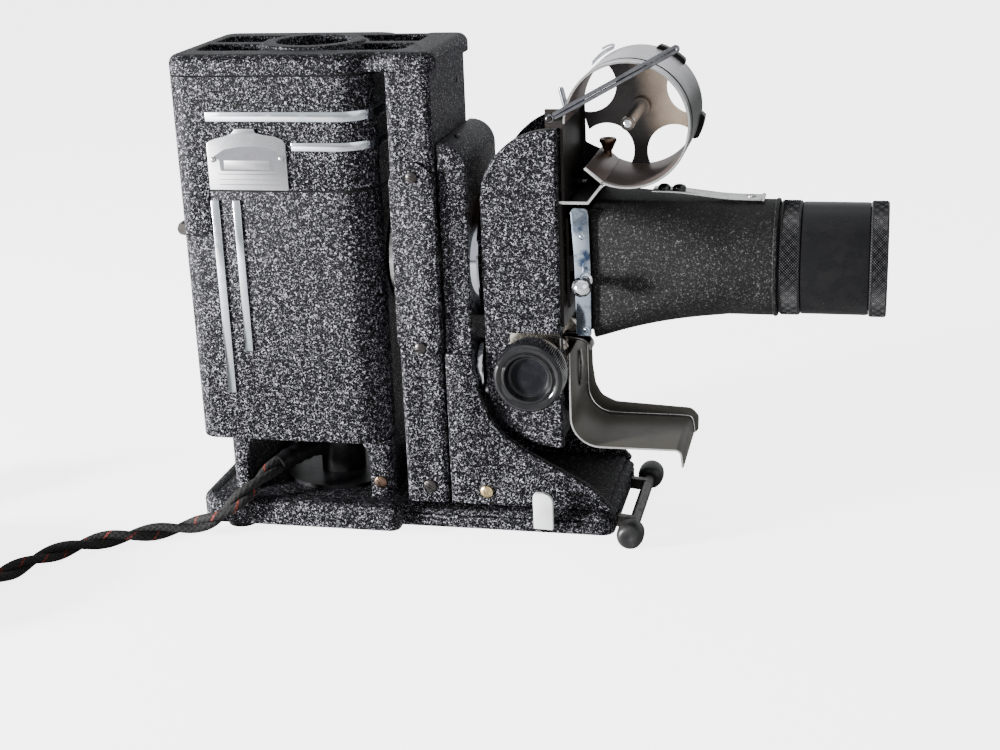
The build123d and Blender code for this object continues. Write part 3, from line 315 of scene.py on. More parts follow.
def slottedHead(radius, height, slot, place, outward, turn, metal, dark):
    profile = domeProfile(radius, height, headLook["sunk"], headLook["curve"])
    head = turned(profile, (0, 0, 0), upWay, headLook["steps"])
    floorZ = headLook["slotFloor"] * height
    for side in (-1, 1):
        cutThrough(head, (side * slot / 2, 0, 0), (1, 0, 0))
    strip = [
        face for face in head.faces
        if abs(face.calc_center_median().x) < slot / 2 and face.calc_center_median().z > floorZ
    ]
    for face in head.faces:
        face.material_index = metal
    made = bmesh.ops.extrude_face_region(head, geom=strip)
    for item in made["geom"]:
        if isinstance(item, bmesh.types.BMVert):
            item.co.z = floorZ
            for face in item.link_faces:
                face.material_index = dark
    facing = Vector(outward).to_track_quat("Z", "Y").to_matrix().to_4x4()
    move = Matrix.Translation(place) @ facing @ Matrix.Rotation(math.radians(turn), 4, "Z")
    bmesh.ops.transform(head, matrix=move, verts=head.verts)
    return head


# Mains cord: a twisted pair that comes out of the socket, crosses the rim and goes to its coil
cordLook = {
    "route": [
        (-44.4, -7.6, 27.0), (-54.0, -24.0, 26.5), (-63.0, -41.5, 18.5), (-74.5, -45.5, 8.5),
        (-89.0, -44.0, 3.6), (-104.5, -52.5, 3.6), (-121.0, -62.5, 3.6), (-133.5, -77.0, 3.6),
        (-141.0, -94.0, 3.6), (-148.0, -121.0, 3.6),
    ],
    "radius": 3.5,
    "step": 1.6,
    "strandRadius": 1.74,
    "strandPress": 0.02,
    "twist": 38.0,
    "coilOuter": 50.5,
    "coilPitch": 7.7,
    "coilTurns": 3,
    "coilRound": 1.018,  # makes up for the curve's cutting of corners
    "cordOut": 44.0,
    "outFrom": 3,
    "perHalfTurn": 8,
    "sleeveLength": 22.0,
    "sleeveStart": 4.2,
    "sleeveEnd": 3.6,
    "sleeveRing": 0.1,
    "ringEvery": 3,
    "ringsEnd": 0.9,
}


def coilPoints(look):
    before = Vector(look["route"][-2])
    last = Vector(look["route"][-1])
    ahead = (last - before).normalized()
    outward = Vector((-ahead.y, ahead.x, 0))
    begin = last + ahead * 2 * look["radius"]
    middle = begin - outward * look["coilOuter"]
    turns = look["coilTurns"]
    across = look["coilOuter"]
    width = 2 * look["coilOuter"] - look["coilPitch"] / 2
    level = 0.0
    side = 1
    points = [begin]
    for n in range(4 * turns + 1):
        rise = look["coilPitch"] if n == 2 * turns else 0.0
        reach = width / 2 * look["coilRound"]
        for k in range(look["perHalfTurn"]):
            share = (k + 0.5) / look["perHalfTurn"]
            angle = math.pi * share
            spot = middle + outward * (across - side * width / 2 + side * reach * math.cos(angle))
            spot = spot + ahead * side * reach * math.sin(angle)
            points.append(spot + Vector((0, 0, level + rise * share)))
        across -= side * width
        level += rise
        side = -side
        width += -look["coilPitch"] if n < 2 * turns else look["coilPitch"]
    there = middle + outward * across + Vector((0, 0, level))
    points += [there + ahead * side * look["outFrom"], there + ahead * side * look["cordOut"]]
    return points


def routeLine(points):
    mesh = curveMesh("cordLine", [at(*spot) for spot in points], 0, "NURBS", fineness=10)
    found = [vertex.co.copy() for vertex in mesh.vertices]
    bpy.data.meshes.remove(mesh)
    return found


def evenSteps(points, gap):
    steps = [points[0]]
    left = gap
    for a, b in zip(points, points[1:]):
        run = (b - a).length
        walked = 0.0
        while run - walked > left:
            walked += left
            steps.append(a.lerp(b, walked / run))
            left = gap
        left -= run - walked
    steps.append(points[-1])
    return steps


def strandMesh(name, line, look, phase):
    offset = mm(look["strandRadius"] - look["strandPress"])
    across = upWay.copy()
    walked = 0.0
    points = []
    for n, spot in enumerate(line):
        ahead = (line[min(n + 1, len(line) - 1)] - line[max(n - 1, 0)]).normalized()
        across = (across - ahead * across.dot(ahead)).normalized()
        other = ahead.cross(across)
        angle = 2 * math.pi * walked / mm(look["twist"]) + phase
        points.append(spot + offset * (across * math.cos(angle) + other * math.sin(angle)))
        if n + 1 < len(line):
            walked += (line[n + 1] - spot).length
    return curveMesh(name, points, mm(look["strandRadius"]))


def makeCord(look, line):
    both = bmesh.new()
    for n in range(2):
        mesh = strandMesh("strand", line, look, n * math.pi)
        for polygon in mesh.polygons:
            polygon.material_index = n
        both.from_mesh(mesh)
        bpy.data.meshes.remove(mesh)
    mesh = bpy.data.meshes.new("mainsCord")
    both.to_mesh(mesh)
    both.free()
    mesh.shade_smooth()
    return placePiece("mainsCord", mesh, "stand", ("cord_run", "cord_coil"))


def makeStrainRelief(look, line):
    run = [spot for n, spot in enumerate(line) if n * look["step"] <= look["sleeveLength"]]
    widths = []
    for n in range(len(run)):
        share = n / (len(run) - 1)
        ring = look["sleeveRing"] if n % look["ringEvery"] == 1 and share < look["ringsEnd"] else 0.0
        widths.append(1 + ring + (look["sleeveEnd"] / look["sleeveStart"] - 1) * share)
    mesh = curveMesh("strainRelief", run, mm(look["sleeveStart"]), facets=6, widths=widths)
    mesh.shade_smooth()
    return placePiece("strainRelief", mesh, "stand")


cordEnd = coilPoints(cordLook)
cordLine = evenSteps(routeLine([Vector(p) for p in cordLook["route"]] + cordEnd), mm(cordLook["step"]))
cordLength = sum((b - a).length for a, b in zip(cordLine, cordLine[1:]))
mainsCord = makeCord(cordLook, cordLine)
strainRelief = makeStrainRelief(cordLook, cordLine)
print("cord made", round(cordLength, 3))

# Floor and light
floorReach = 4  # metres each way from the part
lightLook = {
    "key": {"place": (-900, -570, 190), "size": 0.2, "power": 58},
    "fill": {"place": (900, -700, 420), "size": 0.9, "power": 2.5},
    "top": {"place": (60, 250, 1100), "size": 1.2, "power": 2.5},
}
lightAim = (44, 0, 90)
worldLook = {"color": (0.96, 0.98, 1.0, 1), "seen": 0.9, "lighting": 0.12}


def makeFloor(reach):
    mesh = bpy.data.meshes.new("floor")
    ground = bmesh.new()
    bmesh.ops.create_grid(ground, x_segments=1, y_segments=1, size=reach)
    ground.to_mesh(mesh)
    ground.free()
    made = linkNew("floor", mesh)
    return made


def makeLights(looks):
    for name, look in looks.items():
        data = bpy.data.lights.new(name, "AREA")
        data.shape = "DISK"
        data.size = look["size"]
        data.energy = look["power"]
        lamp = linkNew(name, data)
        place = at(*look["place"])
        aim = (at(*lightAim) - place).normalized()
        lamp.matrix_world = Matrix.Translation(place) @ aim.to_track_quat("-Z", "Y").to_matrix().to_4x4()


# The world is bright where it is seen and in reflections, and lights little
def makeWorld(look):
    world = bpy.data.worlds.new("studio")
    world.use_nodes = True
    tree = world.node_tree
    background = tree.nodes["Background"]
    background.inputs["Color"].default_value = look["color"]
    strength = tree.nodes.new("ShaderNodeMapRange")
    strength.inputs["To Min"].default_value = look["seen"]
    strength.inputs["To Max"].default_value = look["lighting"]
    rays = tree.nodes.new("ShaderNodeLightPath")
    tree.links.new(rays.outputs["Is Diffuse Ray"], strength.inputs["Value"])
    tree.links.new(strength.outputs["Result"], background.inputs["Strength"])
    bpy.context.scene.world = world


floor = makeFloor(floorReach)
makeLights(lightLook)
makeWorld(worldLook)
print("lights made")


# Shader groups, each made once and placed in the finishes with its own values
def addNode(tree, kind, **values):
    node = tree.nodes.new(kind)
    for name, value in values.items():
        if name in ("operation", "data_type", "interpolation_type"):
            setattr(node, name, value)
        else:
            node.inputs[name].default_value = value
    return node


def feed(tree, socket, value):
    if isinstance(value, (int, float, tuple)):
        socket.default_value = value
    else:
        tree.links.new(value, socket)


def newGroup(name, given, results):
    tree = bpy.data.node_groups.new(name, "ShaderNodeTree")
    kinds = {"f": "NodeSocketFloat", "c": "NodeSocketColor", "v": "NodeSocketVector"}
    for way, sockets in (("INPUT", given), ("OUTPUT", results)):
        for kind, names in sockets.items():
            for socket in names:
                tree.interface.new_socket(socket, in_out=way, socket_type=kinds[kind])
    return tree, tree.nodes.new("NodeGroupInput").outputs, tree.nodes.new("NodeGroupOutput").inputs


def calc(tree, operation, first, second=0.0):
    node = addNode(tree, "ShaderNodeMath", operation=operation)
    feed(tree, node.inputs[0], first)
    feed(tree, node.inputs[1], second)
    return node.outputs["Value"]


def product(tree, first, *others):
    for other in others:
        first = calc(tree, "MULTIPLY", first, other)
    return first


def vectorCalc(tree, operation, first, second):
    node = addNode(tree, "ShaderNodeVectorMath", operation=operation)
    feed(tree, node.inputs[0], first)
    feed(tree, node.inputs[1], second)
    return node.outputs


def spread(tree, value, low, high, outLow=0.0, outHigh=1.0):
    node = addNode(tree, "ShaderNodeMapRange", interpolation_type="SMOOTHSTEP")
    feed(tree, node.inputs["Value"], value)
    feed(tree, node.inputs["From Min"], low)
    feed(tree, node.inputs["From Max"], high)
    feed(tree, node.inputs["To Min"], outLow)
    feed(tree, node.inputs["To Max"], outHigh)
    return node.outputs["Result"]


def noise(tree, vector, scale, detail=2.0, roughness=0.5, swirl=0.0):
    node = addNode(tree, "ShaderNodeTexNoise", Detail=detail, Roughness=roughness, Distortion=swirl)
    feed(tree, node.inputs["Vector"], vector)
    feed(tree, node.inputs["Scale"], scale)
    return node.outputs["Fac"]


def mixed(tree, share, first, second):
    node = addNode(tree, "ShaderNodeMix", data_type="RGBA")
    feed(tree, node.inputs[0], share)
    feed(tree, node.inputs[6], first)
    feed(tree, node.inputs[7], second)
    return node.outputs[2]


def coordinate(tree, kind="Object"):
    return tree.nodes.new("ShaderNodeTexCoord").outputs[kind]


def axesOf(tree, vector):
    node = tree.nodes.new("ShaderNodeSeparateXYZ")
    feed(tree, node.inputs[0], vector)
    return node.outputs


# Enamel's crystals: where the noise passes the threshold the colour is made pale, painted glints for the light
# that the wrinkle finish catches
fleckShape = {
    "worms": (2.0, 0.55, 1.3),
    "threshold": 0.55,
    "driftScale": 0.45,
    "drift": (0.36, 0.62, 0.25, 1.0),
    "worn": (0.3, 0.9, 1.0, 0.45),  # painted shade: fewer pale flecks on what faces up, where the low key light falls less
}


def makeFleckGroup(shape):
    tree, given, result = newGroup(
        "crystalFleck",
        {"f": ("Grain", "Width", "Strength"), "c": ("Ground", "Fleck")},
        {"c": ("Color",), "f": ("Height",)},
    )
    place = coordinate(tree)
    worms = noise(tree, place, given["Grain"], *shape["worms"])
    raised = spread(tree, worms, shape["threshold"], calc(tree, "ADD", shape["threshold"], given["Width"]))
    drift = spread(tree, noise(tree, place, product(tree, given["Grain"], shape["driftScale"])), *shape["drift"])
    # Painted shade: the flecks fade on faces turned upward
    level = spread(tree, axesOf(tree, coordinate(tree, "Normal"))["Z"], *shape["worn"])
    mask = product(tree, raised, drift, product(tree, given["Strength"], level))
    feed(tree, result["Color"], mixed(tree, mask, given["Ground"], given["Fleck"]))
    feed(tree, result["Height"], worms)
    return tree


# Metal and plastic: clouds of stain, and the fine lines of a brushed or turned surface
stainShape = {
    "cloud": (5.0, 0.62),
    "edge": (0.46, 0.66),
    "hair": (1.0, 3.0, 0.6),
    "cloudHeight": 0.4,
    "bump": (0.25, 0.00006),
}


def makeTarnishGroup(shape):
    tree, given, result = newGroup(
        "tarnish",
        {"f": ("Size", "Amount", "Smooth", "Rough", "Lines"), "c": ("Clean", "Stained"), "v": ("Brush",)},
        {"c": ("Color",), "f": ("Roughness", "Height")},
    )
    place = coordinate(tree)
    cloud = noise(tree, place, given["Size"], *shape["cloud"])
    stain = product(tree, spread(tree, cloud, *shape["edge"]), given["Amount"])
    brushed = vectorCalc(tree, "MULTIPLY", place, given["Brush"])["Vector"]
    hair = product(tree, calc(tree, "SUBTRACT", noise(tree, brushed, *shape["hair"]), 0.5), given["Lines"])
    clamp = tree.nodes.new("ShaderNodeClamp")
    feed(tree, clamp.inputs["Value"], calc(tree, "ADD", stain, hair))
    total = clamp.outputs["Result"]
    feed(tree, result["Color"], mixed(tree, total, given["Clean"], given["Stained"]))
    gap = calc(tree, "SUBTRACT", given["Rough"], given["Smooth"])
    feed(tree, result["Roughness"], calc(tree, "ADD", given["Smooth"], product(tree, total, gap)))
    feed(tree, result["Height"], calc(tree, "ADD", product(tree, cloud, shape["cloudHeight"]), hair))
    return tree


dustShape = {
    "upward": (0.35, 0.95),
    "grain": (420.0, 6.0, 0.7),
    "specks": (0.5, 0.72),
    "color": (0.2, 0.19, 0.17),
}


def makeDustGroup(shape):
    tree, given, result = newGroup("dust", {"f": ("Amount",), "c": ("Under", "Dust")}, {"c": ("Color",)})
    up = spread(tree, axesOf(tree, coordinate(tree, "Normal"))["Z"], *shape["upward"])
    specks = spread(tree, noise(tree, coordinate(tree), *shape["grain"]), *shape["specks"])
    mask = product(tree, up, specks, given["Amount"])
    feed(tree, result["Color"], mixed(tree, mask, given["Under"], given["Dust"]))
    return tree


# Painted light: a colour laid over a finish along one axis, with a noisy border, for shade or a reflection
paintedLightShape = {"grain": (120.0, 3.0, 0.6), "blur": 0.006}


def makePaintedLightGroup(shape):
    tree, given, result = newGroup(
        "paintedLightRamp", {"f": ("Low", "High"), "c": ("Under", "Over"), "v": ("Axis",)}, {"c": ("Color",)},
    )
    place = coordinate(tree)
    along = vectorCalc(tree, "DOT_PRODUCT", place, given["Axis"])["Value"]
    blur = product(tree, calc(tree, "SUBTRACT", noise(tree, place, *shape["grain"]), 0.5), shape["blur"])
    share = spread(tree, calc(tree, "ADD", along, blur), given["Low"], given["High"])
    feed(tree, result["Color"], mixed(tree, share, given["Under"], given["Over"]))
    return tree


# Braid: two crossing waves of yarn, and one red thread that winds round
weaveShape = {
    "around": 5.0,
    "high": (0.0, 0.9),
    "fuzz": (2600.0, 3.0, 0.6),
    "fuzzSpread": (0.3, 0.75, 0.55, 1.0),
    "threadPace": 0.28,
    "threadWidth": 0.12,
    "threadSpread": (-0.5, 0.1),
    "bump": (0.8, 0.0003),
}


def makeBraidGroup(shape):
    tree, given, result = newGroup(
        "braidWeave",
        {"f": ("Along", "Around", "Pitch", "Tracer"), "c": ("Yarn", "Gap", "Thread")},
        {"c": ("Color",), "f": ("Height",)},
    )
    steps = calc(tree, "DIVIDE", given["Along"], given["Pitch"])
    waves = []
    for side in (-1, 1):
        phase = calc(tree, "ADD", steps, product(tree, given["Around"], shape["around"] * side))
        waves.append(calc(tree, "SINE", product(tree, phase, 2 * math.pi)))
    high = spread(tree, calc(tree, "MAXIMUM", *waves), *shape["high"])
    fuzz = spread(tree, noise(tree, coordinate(tree), *shape["fuzz"]), *shape["fuzzSpread"])
    yarn = mixed(tree, product(tree, high, fuzz), given["Gap"], given["Yarn"])
    helix = calc(tree, "FRACT", calc(tree, "ADD", product(tree, steps, shape["threadPace"]), given["Around"]))
    thread = calc(tree, "LESS_THAN", helix, shape["threadWidth"])
    red = product(tree, thread, spread(tree, product(tree, *waves), *shape["threadSpread"]), given["Tracer"])
    feed(tree, result["Color"], mixed(tree, red, yarn, given["Thread"]))
    feed(tree, result["Height"], high)
    return tree


fleckGroup = makeFleckGroup(fleckShape)
tarnishGroup = makeTarnishGroup(stainShape)
dustGroup = makeDustGroup(dustShape)
paintedLightGroup = makePaintedLightGroup(paintedLightShape)
braidGroup = makeBraidGroup(weaveShape)


def placeGroup(tree, group, values):
    node = tree.nodes.new("ShaderNodeGroup")
    node.node_tree = group
    for name, value in values.items():
        node.inputs[name].default_value = (*value, 1) if node.inputs[name].type == "RGBA" else value
    return node


def newMaterial(name, fixed):
    material = bpy.data.materials.new(name)
    material.use_nodes = True
    shader = material.node_tree.nodes["Principled BSDF"]
    for socket, value in fixed.items():
        shader.inputs[socket].default_value = value
    return material, material.node_tree, shader


def bump(tree, shader, height, strength, distance):
    node = addNode(tree, "ShaderNodeBump", Strength=strength, Distance=distance)
    feed(tree, node.inputs["Height"], height)
    feed(tree, shader.inputs["Normal"], node.outputs["Normal"])


# The Fleck colours are painted glints of the wrinkle finish; Ground is the black enamel itself
enamelLook = {
    "crystalBlack": {
        "group": {
            "Grain": 1600.0, "Width": 0.13, "Strength": 1.0,
            "Ground": (0.002, 0.002, 0.0025), "Fleck": (0.74, 0.73, 0.82),
        },
        "shader": {"Roughness": 0.36, "Specular IOR Level": 0.06}, "bump": (0.8, 0.0003), "dust": 0.02,
    },
    "housingBlack": {
        "group": {
            "Grain": 1900.0, "Width": 0.14, "Strength": 0.6,
            "Ground": (0.009, 0.0088, 0.009), "Fleck": (0.27, 0.265, 0.27),
        },
        "shader": {"Roughness": 0.45, "Specular IOR Level": 0.08}, "bump": (0.6, 0.0003), "dust": 0.05,
    },
}


def makeEnamel(name, look):
    material, tree, shader = newMaterial(name, look["shader"])
    fleck = placeGroup(tree, fleckGroup, look["group"])
    dust = placeGroup(tree, dustGroup, {"Amount": look["dust"], "Dust": dustShape["color"]})
    feed(tree, dust.inputs["Under"], fleck.outputs["Color"])
    feed(tree, shader.inputs["Base Color"], dust.outputs["Color"])
    bump(tree, shader, fleck.outputs["Height"], *look["bump"])
    return material


# Each row: cloud size, share of stain, clean and stained colour, roughness when clean and when stained,
# metallic, and where a finish needs them its brushed lines, its specular level and painted light: painted shade or
# a painted reflection along one axis
tarnishKeys = ("Size", "Amount", "Clean", "Stained", "Smooth", "Rough")
tarnishLook = {
    "chrome": (150.0, 0.35, (0.84, 0.86, 0.9), (0.35, 0.36, 0.4), 0.07, 0.28, 1.0),
    "gateChrome": (150.0, 1.0, (0.4, 0.46, 0.54), (0.04, 0.065, 0.12), 0.1, 0.3, 1.0),
    "springChrome": (260.0, 0.9, (0.17, 0.16, 0.155), (0.04, 0.036, 0.034), 0.12, 0.35, 1.0),
    "aluminium": (
        110.0, 0.45, (0.66, 0.7, 0.74), (0.3, 0.36, 0.44), 0.16, 0.4, 1.0,
        {"Brush": (60.0, 60.0, 2600.0), "Lines": 0.15},
    ),
    "plateMetal": (
        90.0, 0.3, (0.5, 0.5, 0.52), (0.3, 0.3, 0.33), 0.26, 0.42, 1.0,
        {"Brush": (50.0, 50.0, 2400.0), "Lines": 0.2},
    ),
    "etchedGrey": (
        240.0, 0.5, (0.12, 0.12, 0.13), (0.07, 0.07, 0.08), 0.45, 0.6, 1.0,
        {"Brush": (50.0, 50.0, 2400.0), "Lines": 0.2},
    ),
    "warmPlate": (170.0, 0.6, (0.9, 0.83, 0.72), (0.4, 0.34, 0.28), 0.2, 0.42, 1.0),
    "nickel": (130.0, 0.5, (0.62, 0.58, 0.53), (0.3, 0.26, 0.22), 0.2, 0.42, 1.0),
    # painted reflection: the ring's top is made dark brown for the brown case that it mirrors
    "ringChrome": (
        150.0, 0.35, (0.56, 0.59, 0.65), (0.2, 0.2, 0.23), 0.08, 0.28, 1.0,
        {"tint": {"Axis": (0.0, 0.0, 1.0), "Low": 0.117, "High": 0.1235, "Over": (0.05, 0.035, 0.025)}},
    ),
    "wireChrome": (300.0, 0.6, (0.22, 0.225, 0.245), (0.08, 0.08, 0.09), 0.14, 0.35, 1.0),
    # painted shade: the drum's outside is made darker towards the lower right, away from the light
    "drumOutside": (
        60.0, 0.4, (0.86, 0.83, 0.87), (0.66, 0.65, 0.66), 0.34, 0.46, 0.85,
        {
            "Brush": (700.0, 30.0, 700.0), "Lines": 0.12,
            "tint": {"Axis": (0.8, 0.0, -0.6), "Low": -0.07, "High": -0.046, "Over": (0.04, 0.043, 0.037)},
        },
    ),
    "drumInside": (
        28.0, 0.35, (0.19, 0.15, 0.135), (0.12, 0.095, 0.085), 0.38, 0.48, 0.7,
        {"Brush": (260.0, 12.0, 260.0), "Lines": 0.3},
    ),
    # painted reflection: the drum back is made pale tan towards the right, for the light that it reflects
    "drumBack": (
        40.0, 0.3, (0.055, 0.05, 0.05), (0.03, 0.027, 0.026), 0.26, 0.36, 0.9,
        {
            "Brush": (14.0, 14.0, 380.0), "Lines": 0.8,
            "tint": {"Axis": (1.0, 0.0, 0.25), "Low": 0.079, "High": 0.096, "Over": (0.78, 0.62, 0.48)},
        },
    ),
    "oliveGrey": (80.0, 0.35, (0.105, 0.099, 0.083), (0.078, 0.073, 0.06), 0.38, 0.5, 0.3, {"specular": 0.3}),
    "oliveDark": (
        90.0, 0.5, (0.021, 0.018, 0.0165), (0.01, 0.009, 0.0085), 0.34, 0.48, 0.0,
        {"Brush": (900.0, 900.0, 18.0), "Lines": 0.6, "specular": 0.1},
    ),
    "wornEdge": (300.0, 0.4, (0.74, 0.74, 0.73), (0.3, 0.29, 0.27), 0.22, 0.4, 1.0),
    "brass": (420.0, 0.6, (0.72, 0.56, 0.3), (0.3, 0.2, 0.1), 0.22, 0.5, 1.0),
    "brassBrown": (420.0, 0.7, (0.17, 0.11, 0.08), (0.06, 0.04, 0.03), 0.28, 0.5, 1.0),
    "steel": (260.0, 0.6, (0.5, 0.49, 0.48), (0.2, 0.19, 0.18), 0.22, 0.45, 1.0),
    "steelDark": (420.0, 0.7, (0.08, 0.075, 0.072), (0.03, 0.028, 0.026), 0.3, 0.5, 1.0),
    "rubber": (350.0, 0.6, (0.012, 0.012, 0.013), (0.03, 0.029, 0.027), 0.38, 0.55, 0.0, {"specular": 0.35}),
    "whitePlastic": (130.0, 0.5, (0.86, 0.88, 0.87), (0.62, 0.63, 0.6), 0.24, 0.4, 0.0),
    "bakelite": (260.0, 0.5, (0.006, 0.006, 0.007), (0.018, 0.018, 0.019), 0.07, 0.2, 0.0),
    "knobFace": (300.0, 0.7, (0.007, 0.0073, 0.0095), (0.014, 0.0145, 0.017), 0.42, 0.55, 0.0, {"specular": 0.06}),
    "satinBlack": (260.0, 0.5, (0.008, 0.008, 0.009), (0.018, 0.017, 0.016), 0.3, 0.45, 0.0, {"specular": 0.12}),
    "lensBlack": (
        180.0, 0.4, (0.007, 0.007, 0.008), (0.014, 0.013, 0.013), 0.27, 0.36, 0.0,
        {"Brush": (3000.0, 20.0, 20.0), "Lines": 0.15, "specular": 0.14},
    ),
    "floorPale": (3.0, 0.2, (0.9, 0.9, 0.9), (0.86, 0.86, 0.86), 0.7, 0.75, 0.0),
}


def makeTarnished(name, look):
    more = look[-1] if isinstance(look[-1], dict) else {}
    fixed = {"Metallic": look[len(tarnishKeys)], "Specular IOR Level": more.get("specular", 0.5)}
    material, tree, shader = newMaterial(name, fixed)
    values = dict(zip(tarnishKeys, look))
    values.update({key: more[key] for key in ("Brush", "Lines") if key in more})
    group = placeGroup(tree, tarnishGroup, values)
    color = group.outputs["Color"]
    if "tint" in more:
        tint = placeGroup(tree, paintedLightGroup, more["tint"])
        feed(tree, tint.inputs["Under"], color)
        color = tint.outputs["Color"]
    feed(tree, shader.inputs["Base Color"], color)
    feed(tree, shader.inputs["Roughness"], group.outputs["Roughness"])
    bump(tree, shader, group.outputs["Height"], *stainShape["bump"])
    return material


braidLook = {
    "Pitch": 0.0025, "Yarn": (0.018, 0.017, 0.0165), "Gap": (0.003, 0.003, 0.003), "Thread": (0.2, 0.03, 0.022),
}
tracerLook = {"braidPlain": 0.0, "braidTracer": 1.0}
yarnShader = {"Roughness": 0.82, "Specular IOR Level": 0.3}


def makeBraid(name, look, tracer):
    material, tree, shader = newMaterial(name, yarnShader)
    group = placeGroup(tree, braidGroup, {**look, "Tracer": tracer})
    spot = axesOf(tree, tree.nodes.new("ShaderNodeUVMap").outputs["UV"])
    feed(tree, group.inputs["Along"], product(tree, spot["X"], cordLength))
    feed(tree, group.inputs["Around"], spot["Y"])
    feed(tree, shader.inputs["Base Color"], group.outputs["Color"])
    bump(tree, shader, group.outputs["Height"], *weaveShape["bump"])
    return material


# The lens rings' knurl is two crossing sets of lines round the optical axis, painted dark in the valleys and pale
# on the peaks: painted shade and painted highlights
knurlLook = {
    "pitch": 0.00105,
    "count": 118,
    "height": mm(lightZ),
    "peak": (0.35, 0.8),
    "low": (0.003, 0.003, 0.0035, 1.0),
    "high": (0.08, 0.08, 0.085, 1.0),
    "shader": {"Roughness": 0.42, "Specular IOR Level": 0.16},
}


def makeKnurl(name, look):
    material, tree, shader = newMaterial(name, look["shader"])
    place = axesOf(tree, coordinate(tree))
    up = calc(tree, "SUBTRACT", place["Z"], look["height"])
    around = product(tree, calc(tree, "ARCTAN2", place["Y"], up), look["count"] / 2)
    along = product(tree, place["X"], math.pi / look["pitch"])
    waves = [calc(tree, "SINE", calc(tree, kind, along, around)) for kind in ("ADD", "SUBTRACT")]
    lines = [calc(tree, "ABSOLUTE", wave) for wave in waves]
    peak = spread(tree, product(tree, *lines), *look["peak"])
    feed(tree, shader.inputs["Base Color"], mixed(tree, peak, look["low"], look["high"]))
    return material


glassLook = {"Base Color": (0.93, 0.96, 0.96, 1), "Roughness": 0.02, "Transmission Weight": 1.0, "IOR": 1.5}
floorGlow = 4.0

finish = {name: makeEnamel(name, look) for name, look in enamelLook.items()}
finish.update({name: makeTarnished(name, look) for name, look in tarnishLook.items()})
finish.update({name: makeBraid(name, braidLook, tracer) for name, tracer in tracerLook.items()})
finish["knurlBlack"] = makeKnurl("knurlBlack", knurlLook)
finish["glass"] = newMaterial("glass", glassLook)[0]

for name in tracerLook:
    mainsCord.data.materials.append(finish[name])
strainRelief.data.materials.append(finish["satinBlack"])
floor.data.materials.append(finish["floorPale"])


# The floor is a pale sheet lit from behind, whose glow isn't cast on the projector
def brightenFloor(material, glow):
    tree = material.node_tree
    shader = tree.nodes["Principled BSDF"]
    rays = tree.nodes.new("ShaderNodeLightPath")
    shader.inputs["Emission Color"].default_value = (1, 1, 1, 1)
    feed(tree, shader.inputs["Emission Strength"], product(tree, rays.outputs["Is Camera Ray"], glow))


brightenFloor(finish["floorPale"], floorGlow)
print("finishes made")

# Plug at the end of the cord
plugLook = {
    "profile": [
        (0, 3.6), (0.2, 4.5), (0.8, 5.1), (3.0, 5.1), (3.3, 4.5), (4.0, 4.5), (4.3, 5.1), (6.3, 5.1),
        (6.6, 4.5), (7.3, 4.5), (7.8, 5.4), (9.5, 7.6), (12.0, 9.7), (15.0, 10.8), (17.0, 11.2), (21.0, 11.2),
        (25.0, 11.2), (30.0, 11.2), (33.8, 11.2), (34.7, 10.8), (35.0, 10.1), (35.0, 0),
    ],
    "steps": 144,
    "fluted": (20, 31, 11),
    "flutes": 24,
    "depth": 0.6,
}


def makePlug(look):
    heading = (cordEnd[-1] - cordEnd[-2]).normalized()
    shape = flutedShape(look, cordEnd[-1], heading)
    return finishPiece("mainsPlug", shape, "stand", ["bakelite"], ("plug_body",))


mainsPlug = makePlug(plugLook)
print("plug made")

# Castings: the CAD shapes with their arrises rounded off, as enamelled castings are.
# Each row: body, finish, rounding, the upper edges with more of it (above z, outside y, rounding), seam heights
castingLook = {
    "base_casting": ("stand", "crystalBlack", 0.45, (10.8, 30.4, 1.9)),
    "lamphouse_shell": ("stand", "crystalBlack", 0.35, None, (119.4, 137.0)),
    "hood_shell": ("hood", "crystalBlack", 0.35, None, (119.4, 137.0, 179.5)),
    "hood_cap": ("hood", "crystalBlack", 0.35, (186.6, 28.0, 2.6), (179.5,)),
    "condenser_column": ("stand", "crystalBlack", 0.45),
    "lamp_stand": ("stand", "crystalBlack", 0.5),
    "column_strap": ("stand", "crystalBlack", 0.35),
    "swivel_bracket": ("stand", "crystalBlack", 0.6),
    "hood_trim": ("hood", "aluminium", 0.25),
    "shell_trim": ("stand", "aluminium", 0.25),
}
arrisLook = {"angle": 38, "endReach": 4.0, "crownSegments": 4, "segments": 2, "seamReach": 0.55, "upright": 0.95}


def dressCasting(name, body, finishName, width, crown=None, seams=()):
    shape = cadShape(name)
    sharp = sharpEdges(shape, arrisLook["angle"], True)
    if crown is not None:
        level, reach, size = (mm(value) for value in crown)
        low = min(vert.co.x for vert in shape.verts) + mm(arrisLook["endReach"])
        high = max(vert.co.x for vert in shape.verts) - mm(arrisLook["endReach"])
        upper = [
            edge for edge in sharp
            if all(v.co.z > level and (abs(v.co.y) > reach or v.co.x < low or v.co.x > high) for v in edge.verts)
        ]
        bevel(shape, upper, size, arrisLook["crownSegments"], clamp=False)
        sharp = sharpEdges(shape, arrisLook["angle"], True)
    bevel(shape, sharp, mm(width), arrisLook["segments"], clamp=False)
    bmesh.ops.transform(shape, matrix=toFrame.inverted(), verts=shape.verts)
    for face in shape.faces:
        heights = [vert.co.z for vert in face.verts]
        inSeam = any(max(abs(z - level) for z in heights) < arrisLook["seamReach"] for level in seams)
        face.material_index = 1 if inSeam and abs(face.normal.z) < arrisLook["upright"] else 0
    label = "".join(word.capitalize() for word in name.split("_"))
    return finishPiece("dressed" + label, shape, body, [finishName, "satinBlack"], (name,))


for name, look in castingLook.items():
    dressCasting(name, *look)
print("castings dressed")

